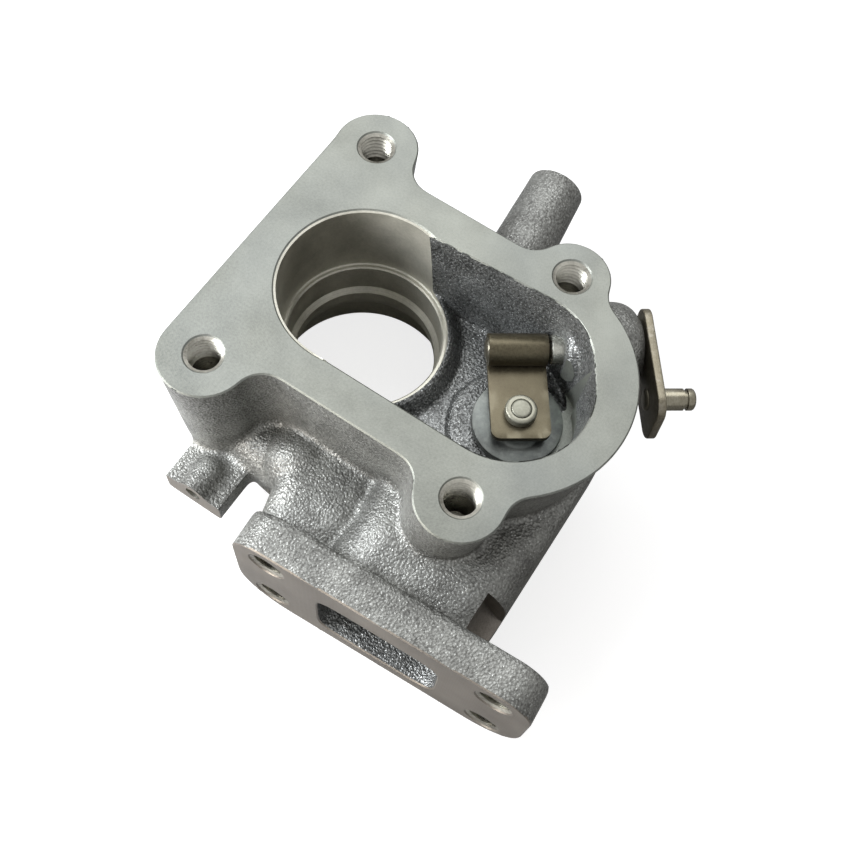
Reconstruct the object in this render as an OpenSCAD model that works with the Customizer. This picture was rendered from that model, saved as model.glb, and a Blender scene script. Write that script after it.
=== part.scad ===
// Turbine housing of a small turbocharger, with its internal wastegate.
// The origin is on the turbine axis at the bearing-side face, and +Z runs up that axis to the outlet flange.
// +X runs from the turbine bore to the wastegate valve, and the inlet flange faces -Y.

/* [Overall] */
// Height from the bearing-side face to the outlet flange face
housing_h = 66; // [62:1:74]
// Thickness of the cast walls round the gas passage
wall = 5; // [4:0.5:5.5]

/* [Turbine bore] */
// Diameter of the outlet bore at the flange face
outlet_bore_d = 48; // [46:0.5:49]
// Depth of the outlet bore down to its step
outlet_bore_depth = 27; // [24:0.5:30]
// Diameter of the bore below the step
step_bore_d = 45; // [44:0.5:45.5]
// Diameter of the throat that the wheel's tips leave through
throat_d = 42; // [40:0.5:43]
// Height of the throat's lower edge above the bearing-side face
throat_z = 26; // [25:0.5:28]
// Length of the throat's straight land, and of the slope above it
throat_land = 1.5; // [1:0.1:2]
// Diameter of the wheel space at the nozzle
wheel_d = 49; // [47:0.5:51]
// Chamfer on the mouth of the outlet bore
bore_chamfer = 0.6; // [0.3:0.1:1]

/* [Nozzle and bearing side] */
// Height of the nozzle slot's floor
nozzle_z = 11.5; // [11:0.5:12]
// Width of the nozzle slot
nozzle_w = 7; // [6:0.5:8]
// Diameter of the nozzle slot, where it meets the scroll
nozzle_d = 68; // [66:1:70]
// Diameter of the bore on the bearing side
rear_bore_d = 55; // [52:1:57]
// Diameter of the register that the bearing housing fits in
register_d = 65; // [62:1:68]
// Depth of that register
register_depth = 4; // [3:0.5:5]
// Diameter of the clamp rim
rim_d = 90; // [86:1:92]
// Straight height of the clamp rim
rim_h = 3; // [2:0.5:3.5]
// Diameter of the waist above the clamp rim
waist_d = 83; // [80:1:84]
// Height of the rim's slope up to the waist
rim_slope_h = 3.5; // [3:0.5:4]

/* [Locating notch] */
// Width of the notch that sets the angle of the bearing housing
key_w = 4; // [3:0.5:6]
// Depth of that notch into the register's wall
key_d = 3; // [2:0.5:4]
// Angle of the notch round the axis
key_angle = 205; // [190:5:330]

/* [Outlet flange] */
// Left edge of the flange, measured from the turbine axis
flange_left = 35.2; // [34:0.2:38]
// Upper and lower edges of the flange, measured from the turbine axis
flange_half_w = 35.4; // [34:0.2:37]
// Radius of the rounded end over the wastegate chamber
flange_end_r = 35.4; // [34.6:0.2:37]
// X position of that rounded end's centre
flange_end_x = 44.3; // [43.5:0.1:45]
// Depth of the drafted body below the flange face
body_depth = 44; // [40:1:46]
// Width of the body at its foot as a share of its width at the face
body_draft = 0.93; // [0.9:0.01:0.97]
// Radius of the hollow corners beside the lobes
hollow_r = 8; // [5:0.5:10]

/* [Outlet holes] */
// X position of the upper left hole
hole_a_x = -23.5; // [-24.5:0.1:-22.5]
// Y position of the upper left hole
hole_a_y = 39.6; // [38.6:0.1:41]
// X position of the lower left hole
hole_b_x = -22.6; // [-23.6:0.1:-21.6]
// Y position of the lower left hole
hole_b_y = -40.6; // [-42:0.1:-39.6]
// X position of the upper right hole
hole_c_x = 44; // [43:0.1:45]
// Y position of the upper right hole
hole_c_y = 35; // [34.5:0.1:37]
// X position of the lower right hole
hole_d_x = 53.3; // [52:0.1:54.5]
// Y position of the lower right hole
hole_d_y = -36.2; // [-37.2:0.1:-35.2]
// Tapping drill of the outlet and inlet holes
tap_d = 8.8; // [8.5:0.1:9]
// Diameter of the countersink at the mouth of each tapped hole
tap_mouth_d = 10.6; // [10:0.1:11]
// Depth of the outlet holes
outlet_tap_depth = 22; // [16:1:24]
// Radius of the lobes round the left holes
lobe_r = 12.1; // [11:0.1:13]
// Radius of the lobe round the upper right hole
lobe_c_r = 11; // [10:0.1:12]

/* [Wastegate chamber] */
// Height of the chamber's cast floor
chamber_floor_z = 36; // [35.8:0.1:36.6]
// Upper edge of the chamber at its far end, measured from the turbine axis
chamber_top_y = 25.8; // [25:0.1:26.2]
// Radius of the chamber's upper corner
chamber_top_r = 20.5; // [19:0.1:21]
// Radius of the chamber's lower corner
chamber_low_r = 22.5; // [21:0.1:23]
// Radius of the cutter that trims the cast boss round the bush
trim_r = 19.6; // [18.6:0.1:20]
// Radius of that cast boss
inner_boss_r = 8.5; // [6:0.5:9]
// Length of the bush that stands clear of that boss
bush_proud = 4; // [3:0.1:5]
// Half width of the chamber where it opens into the outlet bore
chamber_neck_w = 23.2; // [22:0.1:23.6]
// Size of the chamber at its floor as a share of its size at the face
chamber_draft = 0.93; // [0.9:0.01:0.97]
// Height of the cast lip between the bore and the chamber
lip_h = 5; // [3:0.5:6]
// Thickness of that lip at its foot
lip_t = 5; // [4:0.5:6]

/* [Wastegate valve] */
// X position of the valve
valve_x = 51; // [50.4:0.1:51.6]
// Y position of the valve
valve_y = 1.2; // [0.6:0.1:1.8]
// Diameter of the valve disc
valve_d = 25.8; // [24:0.2:27]
// Thickness of the valve disc
valve_t = 3; // [2.5:0.1:3.2]
// Height of the valve's conical hub above its disc
valve_hub_h = 3.1; // [2.6:0.1:3.1]
// Diameter of the foot of that hub
valve_hub_d = 15; // [13:0.5:17]
// Diameter of the valve's stem
stem_d = 6; // [5.5:0.1:6.5]
// Diameter of the stem's pressed head
stem_head_d = 5.4; // [4.8:0.1:5.4]
// Diameter of the seat's spot face
seat_d = 36; // [33:0.5:37]
// Height of the seat above the chamber's floor
seat_h = 2; // [1.8:0.1:2.2]
// Offset of the spot face's centre from the valve's axis
seat_shift = 1.4; // [0:0.1:1.6]
// Diameter of the wastegate port
port_d = 19; // [17:0.5:20]
// Diameter of the washer that holds the arm on the stem
washer_d = 9; // [8.4:0.1:10]
// Thickness of that washer
washer_t = 2.8; // [2.2:0.1:3]
// Play between the arm and that washer
washer_gap = 0.1; // [0.05:0.05:0.2]

/* [Wastegate arm and shaft] */
// Angle of the shaft from +X towards +Y
shaft_angle = 35; // [33:0.5:37]
// Height of the shaft's axis
shaft_z = 49; // [48.9:0.1:49.4]
// Distance from the shaft's axis to the valve's axis
arm_l = 18.3; // [17.8:0.1:18.8]
// Diameter of the shaft
shaft_d = 5.2; // [5:0.1:5.4]
// Thickness of the arm's strap
strap_t = 2; // [1.8:0.1:2.1]
// Width of the strap
strap_w = 16.6; // [15:0.2:17]
// Length of the strap beyond the valve's axis
strap_tip = 7.6; // [6.8:0.2:9]
// Radius of the strap's corners
strap_corner_r = 2.6; // [1:0.2:4]
// Outer diameter of the bush
bush_d = 8.6; // [8.2:0.1:9]
// Distance from the arm's middle to the bush's outer end
bush_end = 34.3; // [34:0.1:34.6]

/* [Outer lever] */
// Distance from the arm's middle to the lever's inner face
lever_at = 34.8; // [34.8:0.1:36]
// Thickness of the lever plate
lever_t = 2.4; // [2:0.1:3]
// Width of the lever plate
lever_w = 18.6; // [16:0.2:20]
// Length of the plate beyond the shaft's axis
lever_back = 10; // [8:0.5:12]
// Length of the plate on the pin's side
lever_l = 25.5; // [24:0.5:28]
// Radius of the plate's corners
lever_corner_r = 5; // [3:0.5:6]
// Rise of the plate towards the pin, in degrees
lever_rise = 5.5; // [0:0.5:12]
// Distance from the shaft's axis to the pin's axis
pin_at = 15.5; // [14:0.5:18]
// Diameter of the pin
pin_d = 6.2; // [5.6:0.2:7]
// Length of the pin beyond the plate
pin_l = 11.2; // [9:0.2:14]
// Width of the groove for the clip
groove_w = 1.1; // [0.8:0.1:1.4]
// Depth of that groove
groove_t = 0.6; // [0.4:0.1:0.8]
// Width of the pin's shoulder against the lever
pin_shoulder = 0.7; // [0.5:0.1:0.8]
// Width of the weld bead round the shaft's end
weld_w = 1.6; // [1:0.1:1.8]
// Distance from the pin's end to the groove
groove_at = 2.2; // [1.6:0.1:3]

/* [Inlet flange] */
// Distance from the turbine axis to the inlet face
inlet_y = 69.6; // [68:0.1:72]
// X position of the inlet's middle
inlet_x = 51.9; // [51:0.1:52.4]
// Turn of the inlet flange about the vertical, in degrees
inlet_turn = 2.8; // [0:0.1:4]
// Height of the inlet flange's middle
inlet_z = 23.2; // [22.8:0.1:24]
// Width of the inlet flange
inlet_w = 91; // [90:0.2:94]
// Height of the inlet flange
inlet_h = 44.8; // [43:0.2:45]
// Thickness of the inlet flange
inlet_t = 11.4; // [10.4:0.2:13]
// Radius of the inlet flange's upper corners
inlet_top_r = 9.5; // [6:0.5:10]
// Radius of the inlet flange's lower corners
inlet_low_r = 16; // [10:0.5:17]
// Spacing of the inlet holes along the flange
inlet_hole_w = 69; // [68:0.5:70]
// Spacing of the inlet holes up the flange
inlet_hole_h = 27; // [25:0.5:28]
// Width of the inlet port
port_w = 38; // [36:0.5:39]
// Height of the inlet port
port_h = 27; // [25:0.5:28]
// Height of the port's middle
port_z = 20.5; // [20:0.1:21]
// Radius of the milled clearance behind the upper right hole
notch_r = 15.5; // [12:0.5:15.5]
// Depth of that clearance
notch_depth = 12; // [7:0.5:13]

/* [Inlet neck] */
// Left side of the gas tube behind the inlet flange
tube_left = 28.4; // [27.4:0.1:28.6]
// Right side of the gas tube
tube_right = 76.8; // [76.2:0.1:77.4]
// Height of the tube's floor at the scroll
tube_floor_z = 6.2; // [5.4:0.1:6.6]
// Height of the tube's roof at the inlet flange
tube_low_z = 38.5; // [38:0.1:40]
// Greatest height of the tube's roof
tube_top_z = 42.2; // [41.6:0.1:43]
// Radius of the tube's corners
tube_corner_r = 12; // [10:0.5:12.5]
// Radius of the tube's end round the wastegate port
tube_end_r = 26; // [25:0.5:26.5]
// Y position of that end's centre
tube_end_y = 3.3; // [3:0.1:3.6]
// Left side of the lower mass beside the tube, at the scroll
mass_left = -3; // [-4:0.5:0]
// Height of that mass's roof
mass_top_z = 35; // [34:0.5:36]
// Radius of the mass's corners
mass_corner_r = 7; // [5:0.5:8]
// X position of the round bulge on the mass
bulge_x = 4.5; // [3:0.5:6]
// Y position of that bulge
bulge_y = -38.5; // [-40:0.5:-36]
// Height of its centre
bulge_z = 26; // [25:0.5:27]
// Radius of that bulge
bulge_r = 10.5; // [9.5:0.5:11]
// Distance of the neck's middle section behind the inlet flange
neck_mid_back = 12; // [11:0.5:13]
// Distance of the neck's last section from the turbine axis
neck_end_y = 24; // [23:0.5:25]

/* [Scroll] */
// Inner radius of the scroll passage
scroll_r = 31; // [30.5:0.1:31.5]
// Half width of the passage at the start of the scroll
scroll_a0 = 15; // [14:0.2:15.6]
// Half width of the passage at the end of the scroll
scroll_a1 = 4.5; // [4:0.1:5]
// Half height of the passage at the start of the scroll
scroll_b0 = 10.5; // [10:0.1:10.6]
// Half height of the passage at the end of the scroll
scroll_b1 = 6; // [5.5:0.1:6.5]
// Height of the passage's floor
scroll_floor_z = 12; // [11.8:0.1:12.4]
// Angle that the scroll turns through
scroll_turn = 315; // [300:5:320]

/* [Cast bosses] */
// Radius of the blind boss at its root
boss_r = 9.8; // [9:0.1:11]
// Radius of the blind boss at its end
boss_end_r = 8.6; // [8:0.1:9.4]
// Distance from the turbine axis to the end of the blind boss
boss_y = 71.6; // [66:0.2:76]
// X position of the blind boss where it leaves the body
boss_x = 25; // [22:0.5:27]
// Height of the blind boss
boss_z = 46; // [44:0.5:48]
// Lean of the blind boss towards -X, in degrees
boss_lean = 6; // [0:1:10]
// Length of the blind boss inside the flange
boss_root = 12; // [10:0.5:13]
// Depth of the tapped hole in the blind boss
boss_tap_depth = 16; // [10:1:20]
// Width of the square lug
lug_w = 19; // [16:0.5:20]
// X position of the lug's middle
lug_x = -16.5; // [-18:0.5:-14]
// Distance from the turbine axis to the lug's machined face
lug_y = 62.4; // [60:0.2:65]
// Height of the lug's underside
lug_z = 13.5; // [12:0.5:15]
// Thickness of the lug
lug_t = 8.5; // [7:0.5:10]
// Distance from the turbine axis to the lug's root in the casting
lug_root_y = 40; // [36:0.5:44]
// Radius of the lug's corners
lug_corner_r = 2.5; // [1:0.5:4]
// Radius of the round boss that crosses the lug
dome_r = 5; // [4.4:0.1:5.5]
// Length of that boss up to its domed end
lug_boss_l = 7.8; // [6:0.2:9]
// Diameter of the hole drilled into the boss
lug_hole_d = 5; // [4:0.1:5.4]
// Height of that hole
lug_hole_z = 20.4; // [19.6:0.1:21]
// Depth of that hole
lug_hole_depth = 11; // [8:0.5:12]
// Radius of the shaft boss at its root
shaft_boss_r = 13.5; // [11:0.5:14]
// Radius of the shaft boss at its end
shaft_boss_end_r = 7; // [6.5:0.5:8]
// Length of the shaft boss's rounded end
shaft_boss_round = 7; // [5:0.5:8]
// Distance from the arm's side to the root of the shaft boss
shaft_boss_in = 10; // [9:0.5:11]

/* [Fits] */
// Radial clearance of a turning fit
run_fit = 0.05; // [0.03:0.01:0.1]
// Gap between faces that pass each other
side_gap = 0.3; // [0.15:0.05:0.4]
// Gap between the valve and its seat when shut
seat_gap = 0.1; // [0.05:0.05:0.2]

/* [Hidden] */
$fn = 64;
eps = 0.01;
hull_fn = 32;
section_t = 1;
section_n = 16;
key_lap = 2;
bush_bore_start = 6;
run_steps = 5;
turn_steps = 14;
tongue_turn = 12;
barrel_r = shaft_d / 2 + strap_t;
seat_z = chamber_floor_z + seat_h;
disc_z = seat_z + seat_gap;
tongue_z = shaft_z - barrel_r;
washer_z = tongue_z + strap_t + washer_gap;
pin_neck_r = pin_d / 2 - pin_shoulder;
u_dir = [sin(shaft_angle), -cos(shaft_angle)];
pivot = [valve_x - arm_l * u_dir[0], valve_y - arm_l * u_dir[1], shaft_z];
seat_x = valve_x - seat_shift;
seat_y = valve_y - seat_shift;
nozzle_top_z = nozzle_z + nozzle_w;
flange_back_y = inlet_y - inlet_t;
bush_start = strap_w / 2 + side_gap;
tap_chamfer = (tap_mouth_d - tap_d) / 2;
outlet_holes = [[hole_a_x, hole_a_y], [hole_b_x, hole_b_y], [hole_c_x, hole_c_y], [hole_d_x, hole_d_y]];

// Sweeps a passage: each station is [x, y, z, angle of its width, half width, half height, squareness]
function signed_pow(v, e) = sign(v) * pow(abs(v), e);
function lerp(a, b, t) = a + (b - a) * t;
function smooth(t) = t * t * (3 - 2 * t);
function ring(s, grow) = [for (k = [0 : section_n - 1])
    let (t = 360 * (k + 0.5) / section_n,
         w = (s[4] + grow) * signed_pow(cos(t), s[6]),
         h = (s[5] + grow) * signed_pow(sin(t), s[6]))
    [s[0] + w * cos(s[3]), s[1] + w * sin(s[3]), s[2] + h]];

module sweep(stations, grow = 0) {
    last = len(stations) - 1;
    points = [for (s = stations) each ring(s, grow)];
    sides = [for (i = [0 : last - 1], k = [0 : section_n - 1])
        let (a = i * section_n + k, b = i * section_n + (k + 1) % section_n)
        each [[a, b, b + section_n], [a, b + section_n, a + section_n]]];
    start_cap = [[for (k = [section_n - 1 : -1 : 0]) k]];
    end_cap = [[for (k = [0 : section_n - 1]) last * section_n + k]];
    polyhedron(points = points, faces = concat(start_cap, sides, end_cap), convexity = 6);
}

// Stations of the scroll: a straight run in from the inlet, then a spiral that narrows
function spiral_station(turn) = let (
    t = turn / scroll_turn,
    a = lerp(scroll_a0, scroll_a1, t),
    b = lerp(scroll_b0, scroll_b1, t),
    r = scroll_r + a)
    [r * cos(turn), r * sin(turn), scroll_floor_z + b, turn, a, b, 0.8];
function run_station(t, from_y) = let (
    s0 = spiral_station(0),
    y = -from_y * (1 - t),
    m = smooth(t))
    [lerp(inlet_x, s0[0], m), y, lerp(port_z, s0[2], m), inlet_turn * (1 - m),
     lerp(port_w / 2, s0[4], m), lerp(port_h / 2, s0[5], m), lerp(0.5, s0[6], m)];
function scroll_stations(from_y, turn) = concat(
    [for (i = [0 : run_steps - 1]) run_station(i / run_steps, from_y)],
    [for (i = [0 : turn_steps]) spiral_station(turn * i / turn_steps)]);

module flange_outline() {
    offset(r = -hollow_r) offset(delta = hollow_r) {
        translate(outlet_holes[0]) circle(r = flange_left + hole_a_x);
        translate(outlet_holes[1]) circle(r = flange_left + hole_b_x);
        translate(outlet_holes[0]) circle(r = lobe_r);
        translate(outlet_holes[1]) circle(r = lobe_r);
        translate(outlet_holes[2]) circle(r = lobe_c_r);
        translate(outlet_holes[3]) circle(r = lobe_r);
        translate([flange_end_x, 0]) circle(r = flange_end_r);
        polygon([[-flange_left, hole_a_y], [-flange_left, hole_b_y], [hole_b_x, -flange_half_w],
                 [flange_end_x, -flange_half_w], [flange_end_x, flange_half_w], [hole_a_x, flange_half_w]]);
    }
}

module chamber_outline() {
    top_in = 6.7;
    low_in = 4.5;
    low_drop = 1;
    neck_tip = 20;
    hull() {
        translate([valve_x - top_in, chamber_top_y - chamber_top_r]) circle(r = chamber_top_r);
        translate([valve_x - low_in, chamber_low_r - chamber_neck_w - low_drop]) circle(r = chamber_low_r);
        polygon([[0, chamber_neck_w], [0, -chamber_neck_w - low_drop], [neck_tip, 0]]);
    }
}

// Frame of the wastegate shaft: its axis is +Z here, with the valve on the +X side and the outlet face at +Y
module on_shaft() {
    translate(pivot) rotate([0, 0, shaft_angle]) rotate([90, 0, 90]) rotate([0, 0, 180])
        mirror([0, 1, 0]) children();
}

// Depth of an inlet hole: all go through the flange, but the lower left one ends at the mass behind it
function inlet_hole_depth(x, y) = x < 0 && y < 0 ? inlet_t : inlet_t + eps;

module tapped_hole(depth) {
    translate([0, 0, -depth]) cylinder(d = tap_d, h = depth + eps);
    translate([0, 0, -tap_chamfer]) cylinder(d1 = tap_d, d2 = tap_mouth_d + 2 * eps, h = tap_chamfer + eps);
}

module rounded_slab(w, h, r, t, fn = 48) {
    linear_extrude(t) offset(r = r, $fn = fn) square([w - 2 * r, h - 2 * r], center = true);
}

// Frame of the inlet flange: its face is the plane z = 0 with +Z outwards, and +Y up
module on_inlet() {
    translate([inlet_x, -inlet_y, inlet_z]) rotate([0, 0, inlet_turn]) rotate([90, 0, 0]) children();
}

module drafted_body() {
    foot = [-flange_left, 0];
    translate([foot[0], foot[1], housing_h]) mirror([0, 0, 1])
        linear_extrude(body_depth, scale = body_draft) translate(-foot) flange_outline();
}

// A thin upright plate across the neck, at one distance from the turbine axis
module neck_section(left, right, low, high, r, from_axis) {
    translate([(left + right) / 2, -from_axis, (low + high) / 2]) rotate([90, 0, 0])
        rounded_slab(right - left, high - low, r, section_t, hull_fn);
}

// The neck's section where it meets the back of the inlet flange
module neck_root(left, right, low, high, r) {
    on_inlet() translate([(left + right) / 2 - inlet_x, (low + high) / 2 - inlet_z, -inlet_t])
        rounded_slab(right - left, high - low, r, section_t, hull_fn);
}

// The gas tube, which ends round the wastegate port
module neck_tube() {
    root_lift = 2;
    mid_sag = 2;
    end_drop = 1.6;
    cone_low = 9;
    cone_in = 5;
    cone_h = 7;
    end_h = 15;
    hull() {
        neck_root(tube_left, tube_right, inlet_z - inlet_h / 2 + root_lift, tube_low_z, tube_corner_r);
        neck_section(tube_left, tube_right, tube_floor_z - mid_sag, tube_top_z, tube_corner_r,
                     flange_back_y - neck_mid_back);
        neck_section(tube_left, tube_right, tube_floor_z, tube_top_z - end_drop, tube_corner_r, neck_end_y);
        translate([tube_right - tube_end_r, tube_end_y, inlet_z - cone_low])
            cylinder(r1 = tube_end_r - cone_in, r2 = tube_end_r, h = cone_h, $fn = hull_fn);
        translate([tube_right - tube_end_r, tube_end_y, inlet_z])
            cylinder(r = tube_end_r, h = end_h, $fn = hull_fn);
    }
}

// The lower mass beside the tube, over the end of the scroll
module neck_mass() {
    root_in = 9;
    root_lap = 3;
    root_lift = 4;
    root_drop = 3;
    mid_in = 5.5;
    mid_sag = 1.7;
    mid_drop = 0.2;
    lap = 2.5;
    end_round = 2;
    hull() {
        neck_root(mass_left + root_in, tube_left + root_lap, inlet_z - inlet_h / 2 + root_lift,
                  mass_top_z - root_drop, mass_corner_r);
        neck_section(mass_left + mid_in, tube_left + lap, tube_floor_z - mid_sag, mass_top_z - mid_drop,
                     mass_corner_r, flange_back_y - neck_mid_back);
        neck_section(mass_left, tube_left + lap, tube_floor_z, mass_top_z, mass_corner_r + end_round,
                     neck_end_y);
    }
}

module inlet_flange_plate() {
    on_inlet() translate([0, 0, -inlet_t]) linear_extrude(inlet_t) hull()
        for (x = [-1, 1]) {
            translate([x * (inlet_w / 2 - inlet_top_r), inlet_h / 2 - inlet_top_r])
                circle(r = inlet_top_r, $fn = 48);
            translate([x * (inlet_w / 2 - inlet_low_r), inlet_low_r - inlet_h / 2])
                circle(r = inlet_low_r, $fn = 48);
        }
}

// Frame of the blind boss: +Z runs out along it, and z = 0 is its end
module on_boss() {
    translate([boss_x, flange_half_w, boss_z]) rotate([-90, 0, boss_lean])
        translate([0, 0, boss_y - flange_half_w]) children();
}

module blind_boss() {
    length = boss_y - flange_half_w + boss_root;
    on_boss() translate([0, 0, -length]) cylinder(r1 = boss_r, r2 = boss_end_r, h = length);
}

module lug() {
    translate([lug_x, -(lug_y + lug_root_y) / 2, lug_z])
        rounded_slab(lug_w, lug_y - lug_root_y, lug_corner_r, lug_t);
    translate([lug_x, -lug_y, lug_hole_z]) rotate([-90, 0, 0]) {
        cylinder(r = dome_r, h = lug_boss_l);
        translate([0, 0, lug_boss_l]) sphere(r = dome_r);
    }
}

module shaft_boss() {
    steps = 6;
    round_turn = 80;
    end = bush_end - side_gap;
    start = strap_w / 2 + shaft_boss_in;
    on_shaft() rotate_extrude() polygon(concat([[0, start], [shaft_boss_r, start]],
        [for (i = [0 : steps]) let (t = round_turn * i / steps)
            [shaft_boss_end_r + (shaft_boss_r - shaft_boss_end_r) * cos(t),
             end - shaft_boss_round + shaft_boss_round * sin(t)]],
        [[shaft_boss_end_r, end], [0, end]]));
}

// Cast boss inside the chamber that carries the bush, trimmed by the valve seat's cutter
module inner_boss() {
    flare = 3;
    reach = 16;
    difference() {
        on_shaft() translate([0, 0, bush_start + bush_proud])
            cylinder(r1 = inner_boss_r, r2 = inner_boss_r + flare, h = reach);
        translate([seat_x, seat_y, 0]) cylinder(r = trim_r, h = housing_h + 1);
    }
}

module rear_rim() {
    rotate_extrude($fn = 96) polygon([[0, 0], [rim_d / 2, 0], [rim_d / 2, rim_h],
        [waist_d / 2, rim_h + rim_slope_h], [waist_d / 2, nozzle_top_z], [0, nozzle_top_z]]);
}

// The bore that the turbine wheel runs in, from the outlet face down to the register
module turbine_bore() {
    steps = 8;
    contour = [for (i = [0 : steps]) let (t = 90 * i / steps)
        [wheel_d / 2 - (wheel_d - throat_d) / 2 * sin(t), throat_z - (throat_z - nozzle_top_z) * cos(t)]];
    step_z = housing_h - outlet_bore_depth;
    land_z = throat_z + throat_land;
    rotate_extrude($fn = 96) polygon(concat(
        [[0, -eps], [register_d / 2, -eps], [register_d / 2, register_depth],
         [rear_bore_d / 2, register_depth], [rear_bore_d / 2, nozzle_z], [nozzle_d / 2, nozzle_z], [nozzle_d / 2, nozzle_top_z]],
        contour,
        [[throat_d / 2, land_z], [step_bore_d / 2, land_z + throat_land], [step_bore_d / 2, step_z],
         [outlet_bore_d / 2, step_z], [outlet_bore_d / 2, housing_h - bore_chamfer],
         [outlet_bore_d / 2 + bore_chamfer + eps, housing_h + eps], [0, housing_h + eps]]));
}

module wastegate_chamber() {
    depth = housing_h - chamber_floor_z;
    draft_x = 30;
    pad_play = 0.4;
    swing_room = 6;
    difference() {
        translate([draft_x, 0, housing_h + eps]) mirror([0, 0, 1])
            linear_extrude(depth + eps, scale = chamber_draft) translate([-draft_x, 0]) chamber_outline();
        translate([0, 0, chamber_floor_z - 1])
            cylinder(r1 = outlet_bore_d / 2 + lip_t, r2 = outlet_bore_d / 2 + 1, h = lip_h + 1);
        translate([seat_x, seat_y, chamber_floor_z - 1]) cylinder(d = seat_d - pad_play, h = seat_h + 1);
        inner_boss();
    }
    translate([seat_x, seat_y, seat_z]) cylinder(d = seat_d, h = valve_t + swing_room);
    translate([valve_x, valve_y, scroll_floor_z + scroll_b0]) cylinder(d = port_d, h = housing_h / 3);
}

module turbine_housing() {
    color("dimgray") difference() {
        union() {
            drafted_body();
            sweep(scroll_stations(flange_back_y + 1, scroll_turn - tongue_turn), wall);
            neck_tube();
            neck_mass();
            translate([bulge_x, bulge_y, bulge_z]) sphere(r = bulge_r);
            inlet_flange_plate();
            blind_boss();
            lug();
            shaft_boss();
            rear_rim();
        }
        turbine_bore();
        wastegate_chamber();
        sweep(scroll_stations(inlet_y + 1, scroll_turn));
        for (p = outlet_holes) translate([p[0], p[1], housing_h]) tapped_hole(outlet_tap_depth);
        on_inlet() for (x = [-1, 1], y = [-1, 1])
            translate([x * inlet_hole_w / 2, y * inlet_hole_h / 2, 0]) tapped_hole(inlet_hole_depth(x, y));
        on_inlet() translate([inlet_hole_w / 2, inlet_hole_h / 2, -inlet_t - notch_depth])
            cylinder(r = notch_r, h = notch_depth);
        on_boss() tapped_hole(boss_tap_depth);
        translate([lug_x, -lug_y - eps, lug_hole_z]) rotate([-90, 0, 0])
            cylinder(d = lug_hole_d, h = lug_hole_depth);
        on_shaft() translate([0, 0, bush_bore_start]) cylinder(d = bush_d, h = bush_end);
        rotate([0, 0, key_angle]) translate([register_d / 2 - key_lap, -key_w / 2, -eps])
            cube([key_d + key_lap, key_w, register_depth + eps]);
    }
}

module wastegate_bush() {
    end_l = 0.8;
    end_d = bush_d - 1.2;
    color("silver") on_shaft() difference() {
        union() {
            translate([0, 0, bush_start + end_l])
                cylinder(d = bush_d, h = bush_end - bush_start - 2 * end_l);
            translate([0, 0, bush_start]) cylinder(d1 = end_d, d2 = bush_d, h = end_l + eps);
            translate([0, 0, bush_end - end_l - eps]) cylinder(d1 = bush_d, d2 = end_d, h = end_l + eps);
        }
        cylinder(d = shaft_d + 2 * run_fit, h = bush_end + 1);
    }
}

module wastegate_shaft() {
    inset = 0.6;
    proud = 0.4;
    start = -strap_w / 2 + inset;
    color("gainsboro") on_shaft() translate([0, 0, start])
        cylinder(d = shaft_d, h = lever_at + lever_t + proud - start);
}

module swing_arm() {
    tip = arm_l + strap_tip;
    seam_turn = -31;
    seam_w = 0.3;
    seam_start = shaft_d / 2 + 0.4;
    color("tan") on_shaft() difference() {
        union() {
            translate([0, 0, -strap_w / 2]) cylinder(r = barrel_r, h = strap_w);
            translate([0, -barrel_r, -strap_w / 2]) intersection() {
                cube([tip, strap_t, strap_w]);
                translate([tip / 2 - 5, 0, strap_w / 2]) rotate([-90, 0, 0])
                    rounded_slab(tip + 10, strap_w, strap_corner_r, strap_t);
            }
        }
        translate([0, 0, -strap_w]) cylinder(d = shaft_d, h = 2 * strap_w);
        translate([arm_l, -barrel_r - 1, 0]) rotate([-90, 0, 0])
            cylinder(d = stem_d + 2 * run_fit, h = strap_t + 2);
        rotate([0, 0, seam_turn]) translate([seam_start, -seam_w / 2, -strap_w])
            cube([strap_t, seam_w, 2 * strap_w]);
    }
}

module wastegate_valve() {
    relief = 0.6;
    relief_r = port_d / 2 - 2;
    edge = 0.5;
    hub_slope = 1.6;
    hub_top = disc_z + valve_t + valve_hub_h;
    head_chamfer = 0.4;
    head_z = washer_z + washer_t + 0.2;
    top_z = washer_z + washer_t + 0.5;
    color("darkkhaki") translate([valve_x, valve_y, 0]) rotate_extrude() polygon([
        [0, disc_z + relief], [relief_r, disc_z + relief], [relief_r + relief, disc_z],
        [valve_d / 2 - relief, disc_z], [valve_d / 2, disc_z + relief],
        [valve_d / 2, disc_z + valve_t - edge], [valve_d / 2 - edge, disc_z + valve_t],
        [valve_hub_d / 2, disc_z + valve_t], [stem_d / 2 + hub_slope, hub_top], [stem_d / 2, hub_top],
        [stem_d / 2, washer_z], [stem_head_d / 2, washer_z],
        [stem_head_d / 2, head_z], [stem_head_d / 2 - head_chamfer, top_z], [0, top_z]]);
}

module valve_washer() {
    edge = 0.5;
    color("lightgray") translate([valve_x, valve_y, washer_z]) difference() {
        rotate_extrude() polygon([[0, 0], [washer_d / 2, 0], [washer_d / 2, washer_t - edge],
            [washer_d / 2 - edge, washer_t], [0, washer_t]]);
        translate([0, 0, -1]) cylinder(d = stem_head_d, h = washer_t + 2);
    }
}

module lever_blank(t) {
    rotate([0, 0, lever_rise]) translate([(lever_l - lever_back) / 2, 0, 0])
        rounded_slab(lever_l + lever_back, lever_w, lever_corner_r, t);
}

module outer_lever() {
    color("dimgray") on_shaft() translate([0, 0, lever_at]) difference() {
        lever_blank(lever_t);
        translate([0, 0, -1]) cylinder(d = shaft_d, h = lever_t + 2);
        translate([pin_at, 0, -1]) cylinder(r = pin_neck_r, h = lever_t + 2);
    }
}

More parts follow.
